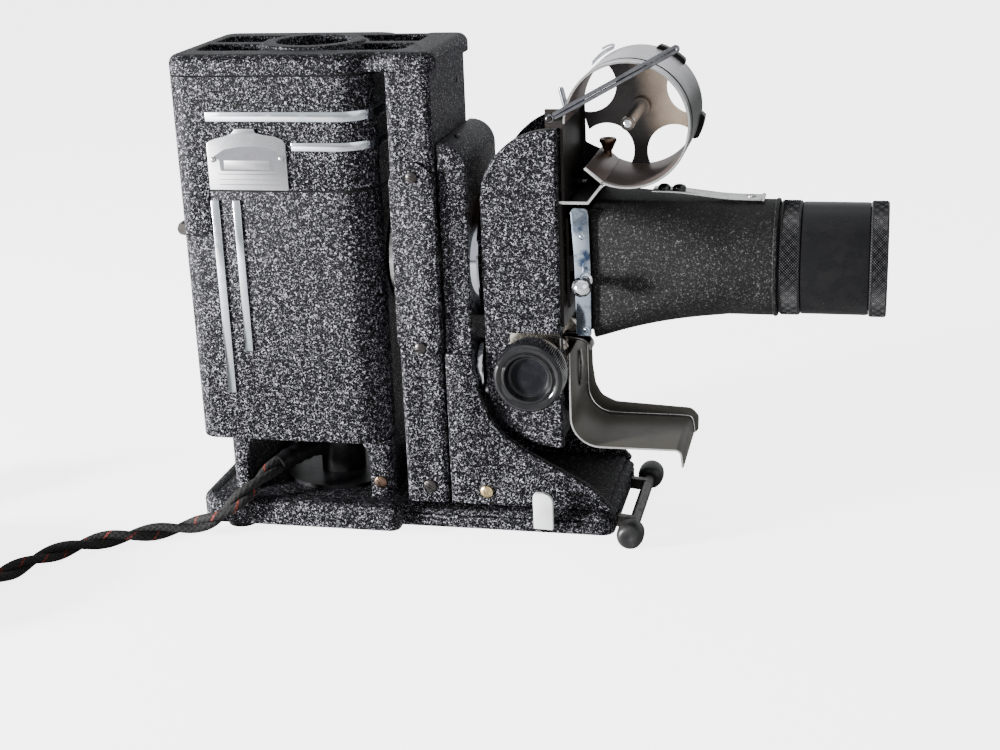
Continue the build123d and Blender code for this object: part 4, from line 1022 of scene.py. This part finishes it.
# Lens housing, drawn out from its square mouth to the round lens seat
housingLook = {
    "mouth": 71.6,
    "roundFrom": 121.0,
    "end": 139.0,
    "half": 18.0,
    "low": 77.2,
    "high": 130.8,
    "corner": 8.0,
    "radius": 21.5,
    "wall": 2.3,
    "arris": 0.3,
    "arrisAngle": 55,
    "lip": 21.9,
    "lipWidth": 1.6,
    "lipSoft": 0.4,
    "rings": 26,
    "steps": 104,
    "sideEase": 1.3,
    "lowEase": 2.1,
    "cornerPace": 1.1,
    "cornerEase": 0.8,
}


def makeHousing(look):
    radius, end, rings = look["radius"], look["end"], look["rings"]
    spots = [look["mouth"] + (end - look["mouth"]) * n / rings for n in range(rings + 1)]
    shape = turned([(x, radius) for x in spots], onAxis, alongX, look["steps"])
    for vert in shape.verts:
        share = max(0.0, (look["roundFrom"] - vert.co.x) / (look["roundFrom"] - look["mouth"]))
        half = radius + (look["half"] - radius) * share ** look["sideEase"]
        low = lightZ - radius - (lightZ - radius - look["low"]) * share ** look["lowEase"]
        high = lightZ + radius + (look["high"] - lightZ - radius) * share
        squared = min(1.0, share * look["cornerPace"]) ** look["cornerEase"]
        corner = min(radius + (look["corner"] - radius) * squared, half)
        sideY = vert.co.y / radius
        sideZ = (vert.co.z - lightZ) / radius
        vert.co.y = math.copysign(half - corner, sideY) + corner * sideY
        vert.co.z = (low + high) / 2 + math.copysign((high - low) / 2 - corner, sideZ) + corner * sideZ
    faceOut(shape)
    topmost = max(shape.faces, key=lambda face: face.calc_center_median().z)
    if topmost.normal.z < 0:
        bmesh.ops.reverse_faces(shape, faces=shape.faces)
    bmesh.ops.solidify(shape, geom=shape.faces[:], thickness=look["wall"])
    faceOut(shape)
    soften(shape, look["arris"], angle=look["arrisAngle"])
    start, soft = end - look["lipWidth"], look["lipSoft"]
    lip = [(start, radius - soft), (start, look["lip"] - soft), (start + soft, look["lip"])]
    lip += [(end - soft, look["lip"]), (end, look["lip"] - soft), (end, radius - 3 * soft)]
    addTo(shape, turned(lip, onAxis, alongX, look["steps"], closed=True))
    finishPiece("lensHousing", shape, "head", ["housingBlack"], ("lens_housing",), 40)


makeHousing(housingLook)

# Lens: two knurled rings on a smooth tube
lensLook = {
    "rear": {"from": 139.5, "to": 147.08, "radius": 21.3, "margin": 0.9, "rows": 7},
    "front": {"from": 171.72, "to": 178.1, "radius": 21.4, "margin": 0.8, "rows": 6},
    "bore": 19.1,
    "pairs": 148,
    "depth": 0.42,
    "rim": [(0, 0.75), (0.3, 0.3)],  # how far the rounded ends are in, along and across
    "step": (0.15, 0.25),
    "near": 0.02,
    "tubeSteps": 128,
    "tube": [
        (112.0, 16.8), (112.0, 18.6), (112.4, 19.0), (147.1, 19.0), (147.12, 20.3), (147.5, 20.6),
        (148.2, 20.7), (170.6, 20.7), (171.3, 20.6), (171.68, 20.3), (171.7, 19.0), (177.3, 19.0),
        (177.6, 18.6), (177.6, 17.4), (176.9, 16.9), (175.2, 16.9), (174.6, 15.8), (173.9, 15.8), (173.8, 16.8),
    ],
}


def knurledRing(ring, look):
    first, last, radius, rows, pairs = ring["from"], ring["to"], ring["radius"], 2 * ring["rows"], look["pairs"]
    start = first + ring["margin"]
    gap = (last - first - 2 * ring["margin"]) / rows
    along, across = look["step"]
    profile = [(first, look["bore"])] + [(first + a, radius - r) for a, r in look["rim"]]
    profile += [(start - along, radius - across)]
    profile += [(start + n * gap, radius) for n in range(rows + 1)]
    profile += [(last - ring["margin"] + along, radius - across)]
    profile += [(last - a, radius - r) for a, r in reversed(look["rim"])] + [(last, look["bore"])]
    shape = turned(profile, onAxis, alongX, 2 * pairs, closed=True)
    low = []
    for vert in shape.verts:
        flat = Vector((0, vert.co.y, vert.co.z - lightZ))
        row = round((vert.co.x - start) / gap)
        if abs(flat.length - radius) > look["near"] or not 0 <= row <= rows:
            continue
        column = round(math.atan2(flat.y, flat.z) / (math.pi / pairs))
        if (row + column) % 2:
            vert.co -= flat.normalized() * look["depth"]
            low.append(vert)
    bmesh.ops.connect_verts(shape, verts=low)
    return shape


def makeLens(look):
    for name, node in (("rear", "lens_rear_ring"), ("front", "lens_front_ring")):
        shape = knurledRing(look[name], look)
        finishPiece(name + "KnurledRing", shape, "lens", ["knurlBlack"], (node,), 20)
    shape = turned(look["tube"], onAxis, alongX, look["tubeSteps"], closed=True)
    finishPiece("lensTube", shape, "lens", ["lensBlack"], ("lens_barrel",), 25)


makeLens(lensLook)
print("lens made")

# Advance knob
knobLook = {
    "centre": (50.7, -26.0, 69.8),
    "profile": [
        (0, 2.6), (0, 8.4), (3.0, 8.4), (3.2, 12.2), (3.6, 12.8), (4.2, 13.15), (8.0, 13.15), (13.4, 13.15),
        (14.4, 12.95), (15.1, 12.4), (15.4, 11.7), (15.25, 10.9), (14.85, 10.3), (14.6, 9.95), (14.7, 9.7),
        (15.0, 9.45), (15.1, 9.15), (15.0, 8.85), (14.6, 8.55), (13.8, 8.2), (13.0, 7.85), (12.7, 7.6),
        (12.6, 7.3), (12.3, 7.1), (12.2, 6.9), (12.25, 4.0), (12.3, 0),
    ],
    "steps": 288,
    "fluted": (4.0, 13.8, 13),
    "flutes": 96,
    "depth": 0.28,
    "faceRadius": 6.9,
    "faceFrom": 5,
}


def makeKnob(look):
    shape = flutedShape(look, look["centre"], nearWay)
    for face in shape.faces:
        spot = face.calc_center_median() - Vector(look["centre"])
        inFace = math.hypot(spot.x, spot.z) < look["faceRadius"] and -spot.y > look["faceFrom"]
        face.material_index = 1 if inFace else 0
    shape.normal_update()
    finishPiece("advanceKnob", shape, "advance", ["bakelite", "knobFace"], ("advance_knob",), 28)


makeKnob(knobLook)

# Film drum, a rolled sheet with an open mouth, its clips, post and thumb screw
drumLook = {
    "centre": (85.2, 0, 159.6),
    "from": 246,
    "sweep": 292,
    "steps": 110,
    "profile": [
        (21.0, 22.2), (21.0, 22.8), (20.7, 23.05), (15.6, 23.05), (15.5, 22.6), (13.3, 22.6), (13.2, 23.04),
        (-20.7, 23.05), (-21.0, 22.8), (-21.0, 22.1), (17.4, 22.05), (17.8, 22.25), (18.2, 22.05),
        (20.8, 22.05),
    ],
    "facing": 0.5,
    "rimY": -20.6,
    "grooveY": (-15.55, -13.2),
    "lip": ([(76.3, 138.3), (77.0, 139.3), (70.4, 144.7), (69.7, 143.8)], -21.0, 19.4, 0.25, 0.12, 3),
    "lugs": [  # from, sweep, steps, inner and outer radius, near and far side, finish's place in the list
        (44, 30, 12, 23.0, 24.6, -16.0, -20.9, 0),
        (-29, 24, 10, 23.0, 24.7, -14.5, -20.9, 0),
        (114, 24, 12, 23.9, 24.4, -15.5, -19.5, 1),
    ],
    "lugSoft": 0.3,
    "lugFoot": 0.2,
    "lugTaper": (9, 0.35),
    "hook": [
        (137, 24.6), (130, 24.9), (122, 25.0), (116, 24.8), (112.5, 24.9), (113, 25.6), (118, 26.1),
        (123, 26.1),
    ],
    "hookY": 17.5,
    "hookWire": 0.42,
    "peg": [(-0.2, 0), (-0.2, 1.05), (6.2, 1.05), (6.6, 0.95), (6.9, 0.6), (7.0, 0)],
    "pegPlace": (63.3, -19.3, 166.4),
    "pegWay": (-0.24, 0, 1),
    "post": [
        (-17.4, 2.47), (13.9, 2.47), (14.6, 2.47), (15.4, 2.42), (16.3, 2.1), (17.0, 1.5), (17.4, 0.8),
        (17.5, 0),
    ],
}


def aroundDrum(angle):
    return Vector((math.cos(math.radians(angle)), 0, math.sin(math.radians(angle))))


# A black lug gets thinner towards both its ends
def drumLug(lug, look):
    start, sweep, steps, inner, outer, near, far, metal = lug
    centre, soft = Vector(look["centre"]), look["lugSoft"]
    pace, full = look["lugTaper"]
    profile = [(near, inner), (near, outer - soft), (near - soft, outer)]
    profile += [(far + soft, outer), (far, outer - soft), (far, inner)]
    part = turned(profile, centre, nearWay, steps, sweep, aroundDrum(start), closed=True)
    for vert in part.verts:
        flat = vert.co - centre
        flat.y = 0
        angle = math.degrees(math.atan2(flat.z, flat.x))
        share = (angle - start) / sweep
        thin = max(0.0, 1 - pace * share * (1 - share) - full)
        if metal == 0 and flat.length > inner + look["lugFoot"]:
            vert.co -= flat.normalized() * thin * (outer - inner)
    return part


def makeDrum(look):
    centre = Vector(look["centre"])
    across = aroundDrum(look["from"])
    shape = turned(look["profile"], centre, nearWay, look["steps"], look["sweep"], across, closed=True)
    addTo(shape, plate(*look["lip"]))
    faceOut(shape)
    finishes = ["drumOutside", "drumInside", "wornEdge", "satinBlack"]
    for face in shape.faces:
        spot = face.calc_center_median()
        inward = centre - spot
        inward.y = 0
        facesIn = face.normal.dot(inward.normalized()) > look["facing"]
        where = "drumInside" if facesIn else "drumOutside"
        if spot.y < look["rimY"] and face.normal.y < -look["facing"]:
            where = "wornEdge"
        # painted shade: the groove's outer faces are made black for the shade in the groove
        if look["grooveY"][0] < spot.y < look["grooveY"][1] and not facesIn:
            where = "satinBlack"
        face.material_index = finishes.index(where)
    finishPiece("filmDrum", shape, "head", finishes, ("film_drum",))

    clips = bmesh.new()
    for lug in look["lugs"]:
        addTo(clips, drumLug(lug, look), lug[-1])
    hook = [centre + aroundDrum(angle) * radius + Vector((0, look["hookY"], 0)) for angle, radius in look["hook"]]
    addTo(clips, wire(hook, look["hookWire"], "NURBS"), 1)
    addTo(clips, turned(look["peg"], look["pegPlace"], look["pegWay"], 28), 2)
    finishPiece("drumClips", clips, "head", ["satinBlack", "chrome", "wireChrome"], ("drum_clips",))
    finishPiece("drumPost", turned(look["post"], centre, nearWay, 40), "head", ["chrome"])


makeDrum(drumLook)

thumbLook = {
    "centre": (73.2, 14.0, 0),
    "profile": [
        (138.6, 0), (138.6, 1.5), (143.9, 1.5), (144.2, 1.8), (145.4, 2.3), (146.7, 2.9), (147.2, 3.3),
        (148.0, 3.3), (148.4, 3.05), (148.35, 2.4), (147.8, 1.5), (147.5, 0.9), (147.4, 0),
    ],
    "steps": 96,
    "fluted": (147.0, 148.1, 3.2),
    "flutes": 32,
    "depth": 0.12,
}
thumbShape = flutedShape(thumbLook, thumbLook["centre"], upWay)
finishPiece("thumbScrew", thumbShape, "thumb", ["brassBrown"], ("thumb_screw",), 40)

# Bail: one wire bent back on itself
bailLook = {
    "pivot": (58.5, -24.8, 162.8),
    "end": (103.9, -24.8, 187.4),
    "wire": 0.72,
    "apart": 0.74,
    "joined": (1.7, 0.62),
    "straightFrom": 9,
    "tip": 0.4,
    "bendSteps": 9,
    "eye": 1.05,
    "eyeWire": 0.57,
}


def makeBail(look):
    pivot = Vector(look["pivot"])
    end = Vector(look["end"])
    along = (end - pivot).normalized()
    across = Vector((-along.z, 0, along.x))
    apart = look["apart"]
    start, gap = look["joined"]
    straight = pivot + along * look["straightFrom"]
    tip = end - along * look["tip"]
    points = [pivot + along * start - across * gap, straight - across * apart, tip - across * apart]
    for n in range(1, look["bendSteps"]):
        angle = -math.pi / 2 + math.pi * n / look["bendSteps"]
        points.append(tip + along * apart * math.cos(angle) + across * apart * math.sin(angle))
    points += [tip + across * apart, straight + across * apart, pivot + along * start + across * gap]
    shape = wire(points, look["wire"], facets=4)
    addTo(shape, ringOf(pivot, nearWay, look["eye"], look["eyeWire"]))
    finishPiece("filmBail", shape, "bail", ["wireChrome"], ("film_bail",), 50)


makeBail(bailLook)
print("drum made")

# Take-up chute
chuteLook = {
    "chain": [(62.7, 73.0), (62.7, 36.0), (104.7, 36.0), (105.5, 28.7)],
    "bends": [11.0, 2.4],
    "half": 19.0,
    "thick": 0.8,
    "flange": [
        (61.9, 66.0), (61.9, 46.5), (63.4, 40.6), (67.6, 36.6), (73.5, 35.2), (103.0, 35.0), (104.6, 33.2),
        (105.4, 28.9), (107.2, 30.0), (107.4, 36.4), (104.4, 39.4), (74.0, 41.0), (68.6, 43.6), (66.0, 48.4),
        (65.0, 56.0), (64.8, 66.0),
    ],
    "flangeFrom": 18.0,
    "flangeRounding": {n: 1.2 for n in range(7, 15)},
    "flangeSoft": (0.25, 4),
    "edgeNormal": -0.6,
    "crease": [
        (63.0, 66.0), (63.0, 47.2), (63.6, 43.6), (65.2, 40.4), (67.8, 38.0), (70.6, 36.8), (74.4, 36.4),
        (88.0, 36.4), (102.6, 36.4), (104.6, 35.8), (105.4, 33.6), (105.8, 29.2),
    ],
    "creaseY": 17.85,
    "creaseWire": 0.28,
    "foot": ([(60.0, 46.0), (61.8, 46.0), (61.8, 54.0), (60.0, 54.0)], -8, 8, 0, 0.1),
}


def makeChute(look):
    half = look["half"]
    shape = bentSheet(look["chain"], -half, half, look["thick"], look["bends"], alongX)
    for face in shape.faces:
        face.material_index = 1 if face.normal.y < look["edgeNormal"] else 0
    addTo(shape, plate(look["flange"], look["flangeFrom"], half, look["flangeRounding"], *look["flangeSoft"]))
    # painted highlight: a bright wire along the bend of the far flange, for the highlight that the bend catches
    crease = [Vector((x, look["creaseY"], z)) for x, z in look["crease"]]
    addTo(shape, wire(crease, look["creaseWire"], "NURBS"), 1)
    addTo(shape, plate(*look["foot"]))
    finishPiece("takeUpChute", shape, "head", ["oliveGrey", "wornEdge"], ("take_up_chute",), 30)


makeChute(chuteLook)
print("chute made")

# Gate arm with its rivets
gateLook = {
    "arm": [
        (64.2, 127.8), (65.2, 129.3), (70.0, 129.1), (70.9, 127.3), (71.4, 106.0), (71.2, 80.5), (65.6, 80.5),
        (65.4, 106.0), (65.2, 112.0),
    ],
    "near": -20.2,
    "far": -19.0,
    "soft": (0.7, 0.25, 4),
    "edgeNormal": 0.85,
    "rivets": [(68.4, 118.6), (69.4, 82.9)],
    "rivet": [(-0.3, 1.2), (0.15, 1.2), (0.5, 0.95), (0.7, 0.5), (0.75, 0)],
    "ballCentre": (69.6, 0, 102.3),
    "ball": [
        (19.4, 0), (19.4, 2.5), (20.6, 2.7), (21.0, 2.5), (21.4, 1.9), (24.6, 1.7), (26.3, 1.75), (26.6, 2.2),
        (27.4, 2.9), (28.4, 3.4), (29.4, 3.65), (30.2, 3.7), (31.0, 3.62), (32.0, 3.2), (32.8, 2.6),
        (33.5, 1.7), (33.85, 0.8), (33.9, 0),
    ],
}


def makeGateArm(look):
    shape = plate(look["arm"], look["near"], look["far"], *look["soft"])
    for x, z in look["rivets"]:
        addTo(shape, turned(look["rivet"], (x, look["near"], z), nearWay, 24))
    shape.normal_update()
    for face in shape.faces:
        face.material_index = 1 if abs(face.normal.y) < look["edgeNormal"] else 0
    finishPiece("gateArm", shape, "gate_lever", ["gateChrome", "wornEdge"], ("gate_arm",))
    ball = turned(look["ball"], look["ballCentre"], nearWay, 48)
    finishPiece("gateBall", ball, "gate_lever", ["chrome"], ("gate_ball_stud",), 35)


makeGateArm(gateLook)

# Film guide, dark sheet with bright worn edges, a thinner pin and a corner plate on its far side
guideLook = {
    "lipTop": 131.7,
    "rampFrom": 70.8,
    "rampPast": 0.1,
    "edgeNormal": -0.7,
    "pin": (58.5, 162.8),
    "pinY": -21.05,
    "pinShare": 0.4,
    "corner": (
        [
            (61.2, 126.0), (66.0, 126.0), (70.7, 131.4), (75.8, 137.8), (69.8, 143.2), (66.6, 144.6),
            (63.8, 146.0), (63.6, 166.0), (61.2, 166.0),
        ],
        19.0, 19.9, 0.2, 0, 3,
    ),
}


def makeGuide(look):
    shape = cadShape("film_guide")
    bmesh.ops.transform(shape, matrix=toFrame.inverted(), verts=shape.verts)
    cutThrough(shape, (0, 0, look["lipTop"]), upWay)
    cutThrough(shape, (look["rampFrom"], 0, 0), alongX)
    pinX, pinZ = look["pin"]
    for vert in shape.verts:
        if vert.co.y < look["pinY"]:
            vert.co.x = pinX + (vert.co.x - pinX) * look["pinShare"]
            vert.co.z = pinZ + (vert.co.z - pinZ) * look["pinShare"]
    shape.normal_update()
    for face in shape.faces:
        spot = face.calc_center_median()
        ramp = spot.x > look["rampFrom"] - look["rampPast"]
        lip = spot.z < look["lipTop"] and spot.x < look["rampFrom"]
        face.material_index = 1 if (ramp or lip) and face.normal.y < look["edgeNormal"] else 0
    addTo(shape, plate(*look["corner"]))
    finishPiece("filmGuide", shape, "head", ["oliveDark", "wornEdge"], ("film_guide",))


makeGuide(guideLook)
print("gate made")

# Lens lever on the housing
leverLook = {
    "chain": [(92.2, 132.5), (100.5, 132.4), (108.5, 131.5), (118.5, 130.2), (127.0, 129.9), (132.6, 129.9)],
    "bends": [3.5, 4.5, 4.0, 2.5],
    "half": 4.0,
    "thick": 0.9,
    "soft": 0.2,
    "roll": [(-4.0, 0), (-4.0, 0.6), (-3.8, 0.75), (3.8, 0.75), (4.0, 0.6), (4.0, 0)],
    "rollPlace": (132.8, 0, 129.6),
    "studs": [(96.3, 2.4, 2.0), (101.9, 2.6, 1.8)],  # x, radius, height
    "studFoot": [(-0.2, 0.94), (0.15, 1)],
    "studCurve": [(0.35, 1), (0.7, 0.82), (0.92, 0.5), (1, 0)],
    "studZ": 132.35,
    "screw": (1.8, 0.8, 0.6, (128.4, 0, 129.9)),  # radius, height, slot and place
    "screwTurn": 20,
}


def makeLever(look):
    half = look["half"]
    shape = bentSheet(look["chain"], -half, half, look["thick"], look["bends"], upWay, look["soft"])
    addTo(shape, turned(look["roll"], look["rollPlace"], nearWay, 28))
    addTo(shape, slottedHead(*look["screw"], upWay, look["screwTurn"], 1, 2), None)
    finishPiece("lensLever", shape, "lens_catch", ["wornEdge", "steel", "satinBlack"], ("lens_lever",))
    studs = bmesh.new()
    for x, radius, height in look["studs"]:
        dome = [(h, radius * r) for h, r in look["studFoot"]]
        dome += [(h * height, radius * r) for h, r in look["studCurve"]]
        addTo(studs, turned(dome, (x, 0, look["studZ"]), upWay, 32))
    finishPiece("leverStuds", studs, "lens_catch", ["bakelite"], ("lever_studs",))


makeLever(leverLook)

# Nameplate, with bare fields
nameplateLook = {
    "outline": [
        (-69.4, 137.4), (-38.6, 137.5), (-38.6, 155.0), (-39.8, 156.5), (-42.6, 157.6), (-47.2, 158.2),
        (-50.0, 158.9), (-50.3, 160.4), (-57.7, 160.4), (-59.1, 158.7), (-61.9, 157.6), (-65.6, 156.8),
        (-68.4, 155.7), (-69.4, 154.6),
    ],
    "field": [
        (-67.0, 150.1), (-62.6, 152.7), (-56.7, 153.7), (-50.7, 153.9), (-45.4, 153.2), (-41.8, 151.3),
        (-43.0, 148.9), (-43.4, 144.6), (-64.6, 144.6), (-64.8, 148.6),
    ],
    "bare": [(-63.0, 145.2), (-45.0, 145.2), (-45.0, 148.6), (-63.0, 148.6)],
    "rules": [(143.3, 143.6), (141.3, 141.5), (139.4, 139.65)],
    "ruleEnds": (-65.5, -42.0),
    "front": -33.3,
    "back": -32.5,
    "edges": (0.4, 0.14, 4),
    "etched": 0.02,
    "etchedEdges": (0.5, 0, 4),
    "raised": 0.06,
    "raisedEdges": (0.2, 0.03, 3),
    "sunk": 0.2,
    "rivets": [(-67.2, 148.9), (-40.6, 149.4)],
    "rivet": [(-0.3, 1.1), (0.1, 1.1), (0.45, 0.92), (0.7, 0.55), (0.8, 0)],
}


def makeNameplate(look):
    front = look["front"]
    within = front + look["sunk"]
    left, right = look["ruleEnds"]
    shape = plate(look["outline"], front, look["back"], *look["edges"])
    addTo(shape, plate(look["field"], front - look["etched"], within, *look["etchedEdges"]), 1)
    addTo(shape, plate(look["bare"], front - look["raised"], within, *look["raisedEdges"]))
    for low, high in look["rules"]:
        corners = [(left, low), (right, low), (right, high), (left, high)]
        addTo(shape, plate(corners, front - look["etched"], within, 0, 0), 1)
    finishPiece("namePlate", shape, "hood", ["plateMetal", "etchedGrey"], ("nameplate",))
    rivets = bmesh.new()
    for x, z in look["rivets"]:
        addTo(rivets, turned(look["rivet"], (x, front, z), nearWay, 24))
    finishPiece("plateRivets", rivets, "hood", ["plateMetal"], ("nameplate_rivets",))


makeNameplate(nameplateLook)
print("nameplate made")

# Screws in the castings
screwLook = [  # radius, height, slot and place, then the slot's turn and the finish's place in the list
    ((2.6, 1.1, 1.0, (-12.0, -28.0, 20.5)), 35, 2),
    ((2.6, 1.1, 1.0, (8.0, -28.0, 19.9)), 60, 0),
    ((2.6, 1.4, 1.0, (30.5, -28.0, 18.7)), 20, 1),
    ((2.2, 1.1, 0.9, (7.4, -29.2, 142.0)), 70, 0),
    ((2.2, 1.1, 0.9, (7.4, -29.2, 76.6)), -75, 0),
]
pinLook = [  # radius, height, place and the way it looks
    (1.1, 0.6, (20.5, -10.0, 153.8), upWay),
    (1.0, 0.2, (26.7, -15.5, 143.0), alongX),
    (1.2, 0.6, (15.3, 14.0, 171.0), alongX),
]
pinSunk = 0.3
pinCurve = [(0.5, 1), (0.85, 0.75)]


def makeScrews(screws, pins):
    shape = bmesh.new()
    for head, turn, metal in screws:
        addTo(shape, slottedHead(*head, nearWay, turn, metal, 3), None)
    for radius, height, place, outward in pins:
        addTo(shape, turned(domeProfile(radius, height, pinSunk, pinCurve), place, outward, 24))
    metals = ["steelDark", "brass", "brassBrown", "satinBlack"]
    finishPiece("caseScrews", shape, "stand", metals, ("case_screws",))


makeScrews(screwLook, pinLook)

# Tilting foot: ends and tab
footLook = {
    "profile": [
        (25.0, 2.25), (25.0, 3.2), (25.5, 4.2), (26.6, 4.9), (28.2, 5.15), (30.0, 5.2), (31.8, 5.15),
        (33.4, 4.85), (34.4, 4.2), (34.9, 3.2), (35.0, 1.8), (34.7, 0.9), (34.6, 0),
    ],
    "centre": (86.5, 0, 5.2),
    "tab": (
        [(50.3, 8.0), (57.8, 7.8), (57.9, 22.6), (50.2, 22.6)],
        -36.6, -34.4, {0: 0.5, 1: 0.5, 2: 3.9, 3: 1.9}, 0.35, 8,
    ),
}


def makeFoot(look):
    ends = bmesh.new()
    for way in (nearWay, -nearWay):
        addTo(ends, turned(look["profile"], look["centre"], way, 48))
    finishPiece("footEnds", ends, "tilt_foot", ["rubber"], ("tilt_foot_ends",), 45)
    finishPiece("footTab", plate(*look["tab"]), "tilt_foot", ["whitePlastic"], ("tilt_tab",), 40)


makeFoot(footLook)

# Guide springs above the chute: a curl at the near edge and a finger down its middle
springLook = {
    "centre": (66.2, 74.6),
    "outer": 5.0,
    "inner": 4.0,
    "root": 60.0,
    "rise": 0.6,
    "angles": range(85, -1, -8),
    "near": -20.0,
    "far": -12.5,
    "finger": ([(62.9, 54), (63.6, 54), (64.2, 62), (63.5, 68.5), (62.9, 68.5), (63.4, 62)], -1.6, 1.6, 0.0, 0.1),
}


def makeSprings(look):
    x, z = look["centre"]
    angles = [math.radians(angle) for angle in look["angles"]]
    curl = []
    for radius in (look["outer"], look["inner"]):
        arc = [(look["root"], z + radius + look["rise"])]
        arc += [(x + radius * math.cos(angle), z + radius * math.sin(angle)) for angle in angles]
        curl += arc if radius == look["outer"] else arc[::-1]
    shape = plate(curl, look["near"], look["far"], 0.0, 0.1)
    addTo(shape, plate(*look["finger"]))
    finishPiece("guideSprings", shape, "head", ["springChrome"], ("guide_springs",), 40)


makeSprings(springLook)
print("fittings made")

# Finishes of the CAD's own nodes
slotLook = {
    "black_wrinkle": "crystalBlack",
    "black_housing": "housingBlack",
    "black_satin": "satinBlack",
    "bakelite": "bakelite",
    "chrome": "chrome",
    "polished_aluminium": "aluminium",
    "nickel": "nickel",
    "drum_paint": "oliveDark",
    "brass": "brass",
    "steel": "steel",
    "rubber": "rubber",
    "white_plastic": "whitePlastic",
    "clear_glass": "glass",
    "cord_braid": "braidPlain",
}
ownLook = {
    "drum_back": "drumBack",
    "aperture_plate": "oliveDark",
    "pressure_plate": "oliveDark",
    "hinge_pin": "steelDark",
    "swivel_ring": "ringChrome",
    "tilt_foot_bar": "steelDark",
    "knob_plate": "warmPlate",
    "hood_baffle": "satinBlack",
}
for entry in frame["record"]["subparts"]:
    target = nodes[entry["node"]]
    target.data.materials.clear()
    target.data.materials.append(finish[ownLook.get(entry["node"], slotLook[entry["material_slot"]])])
print("nodes finished")
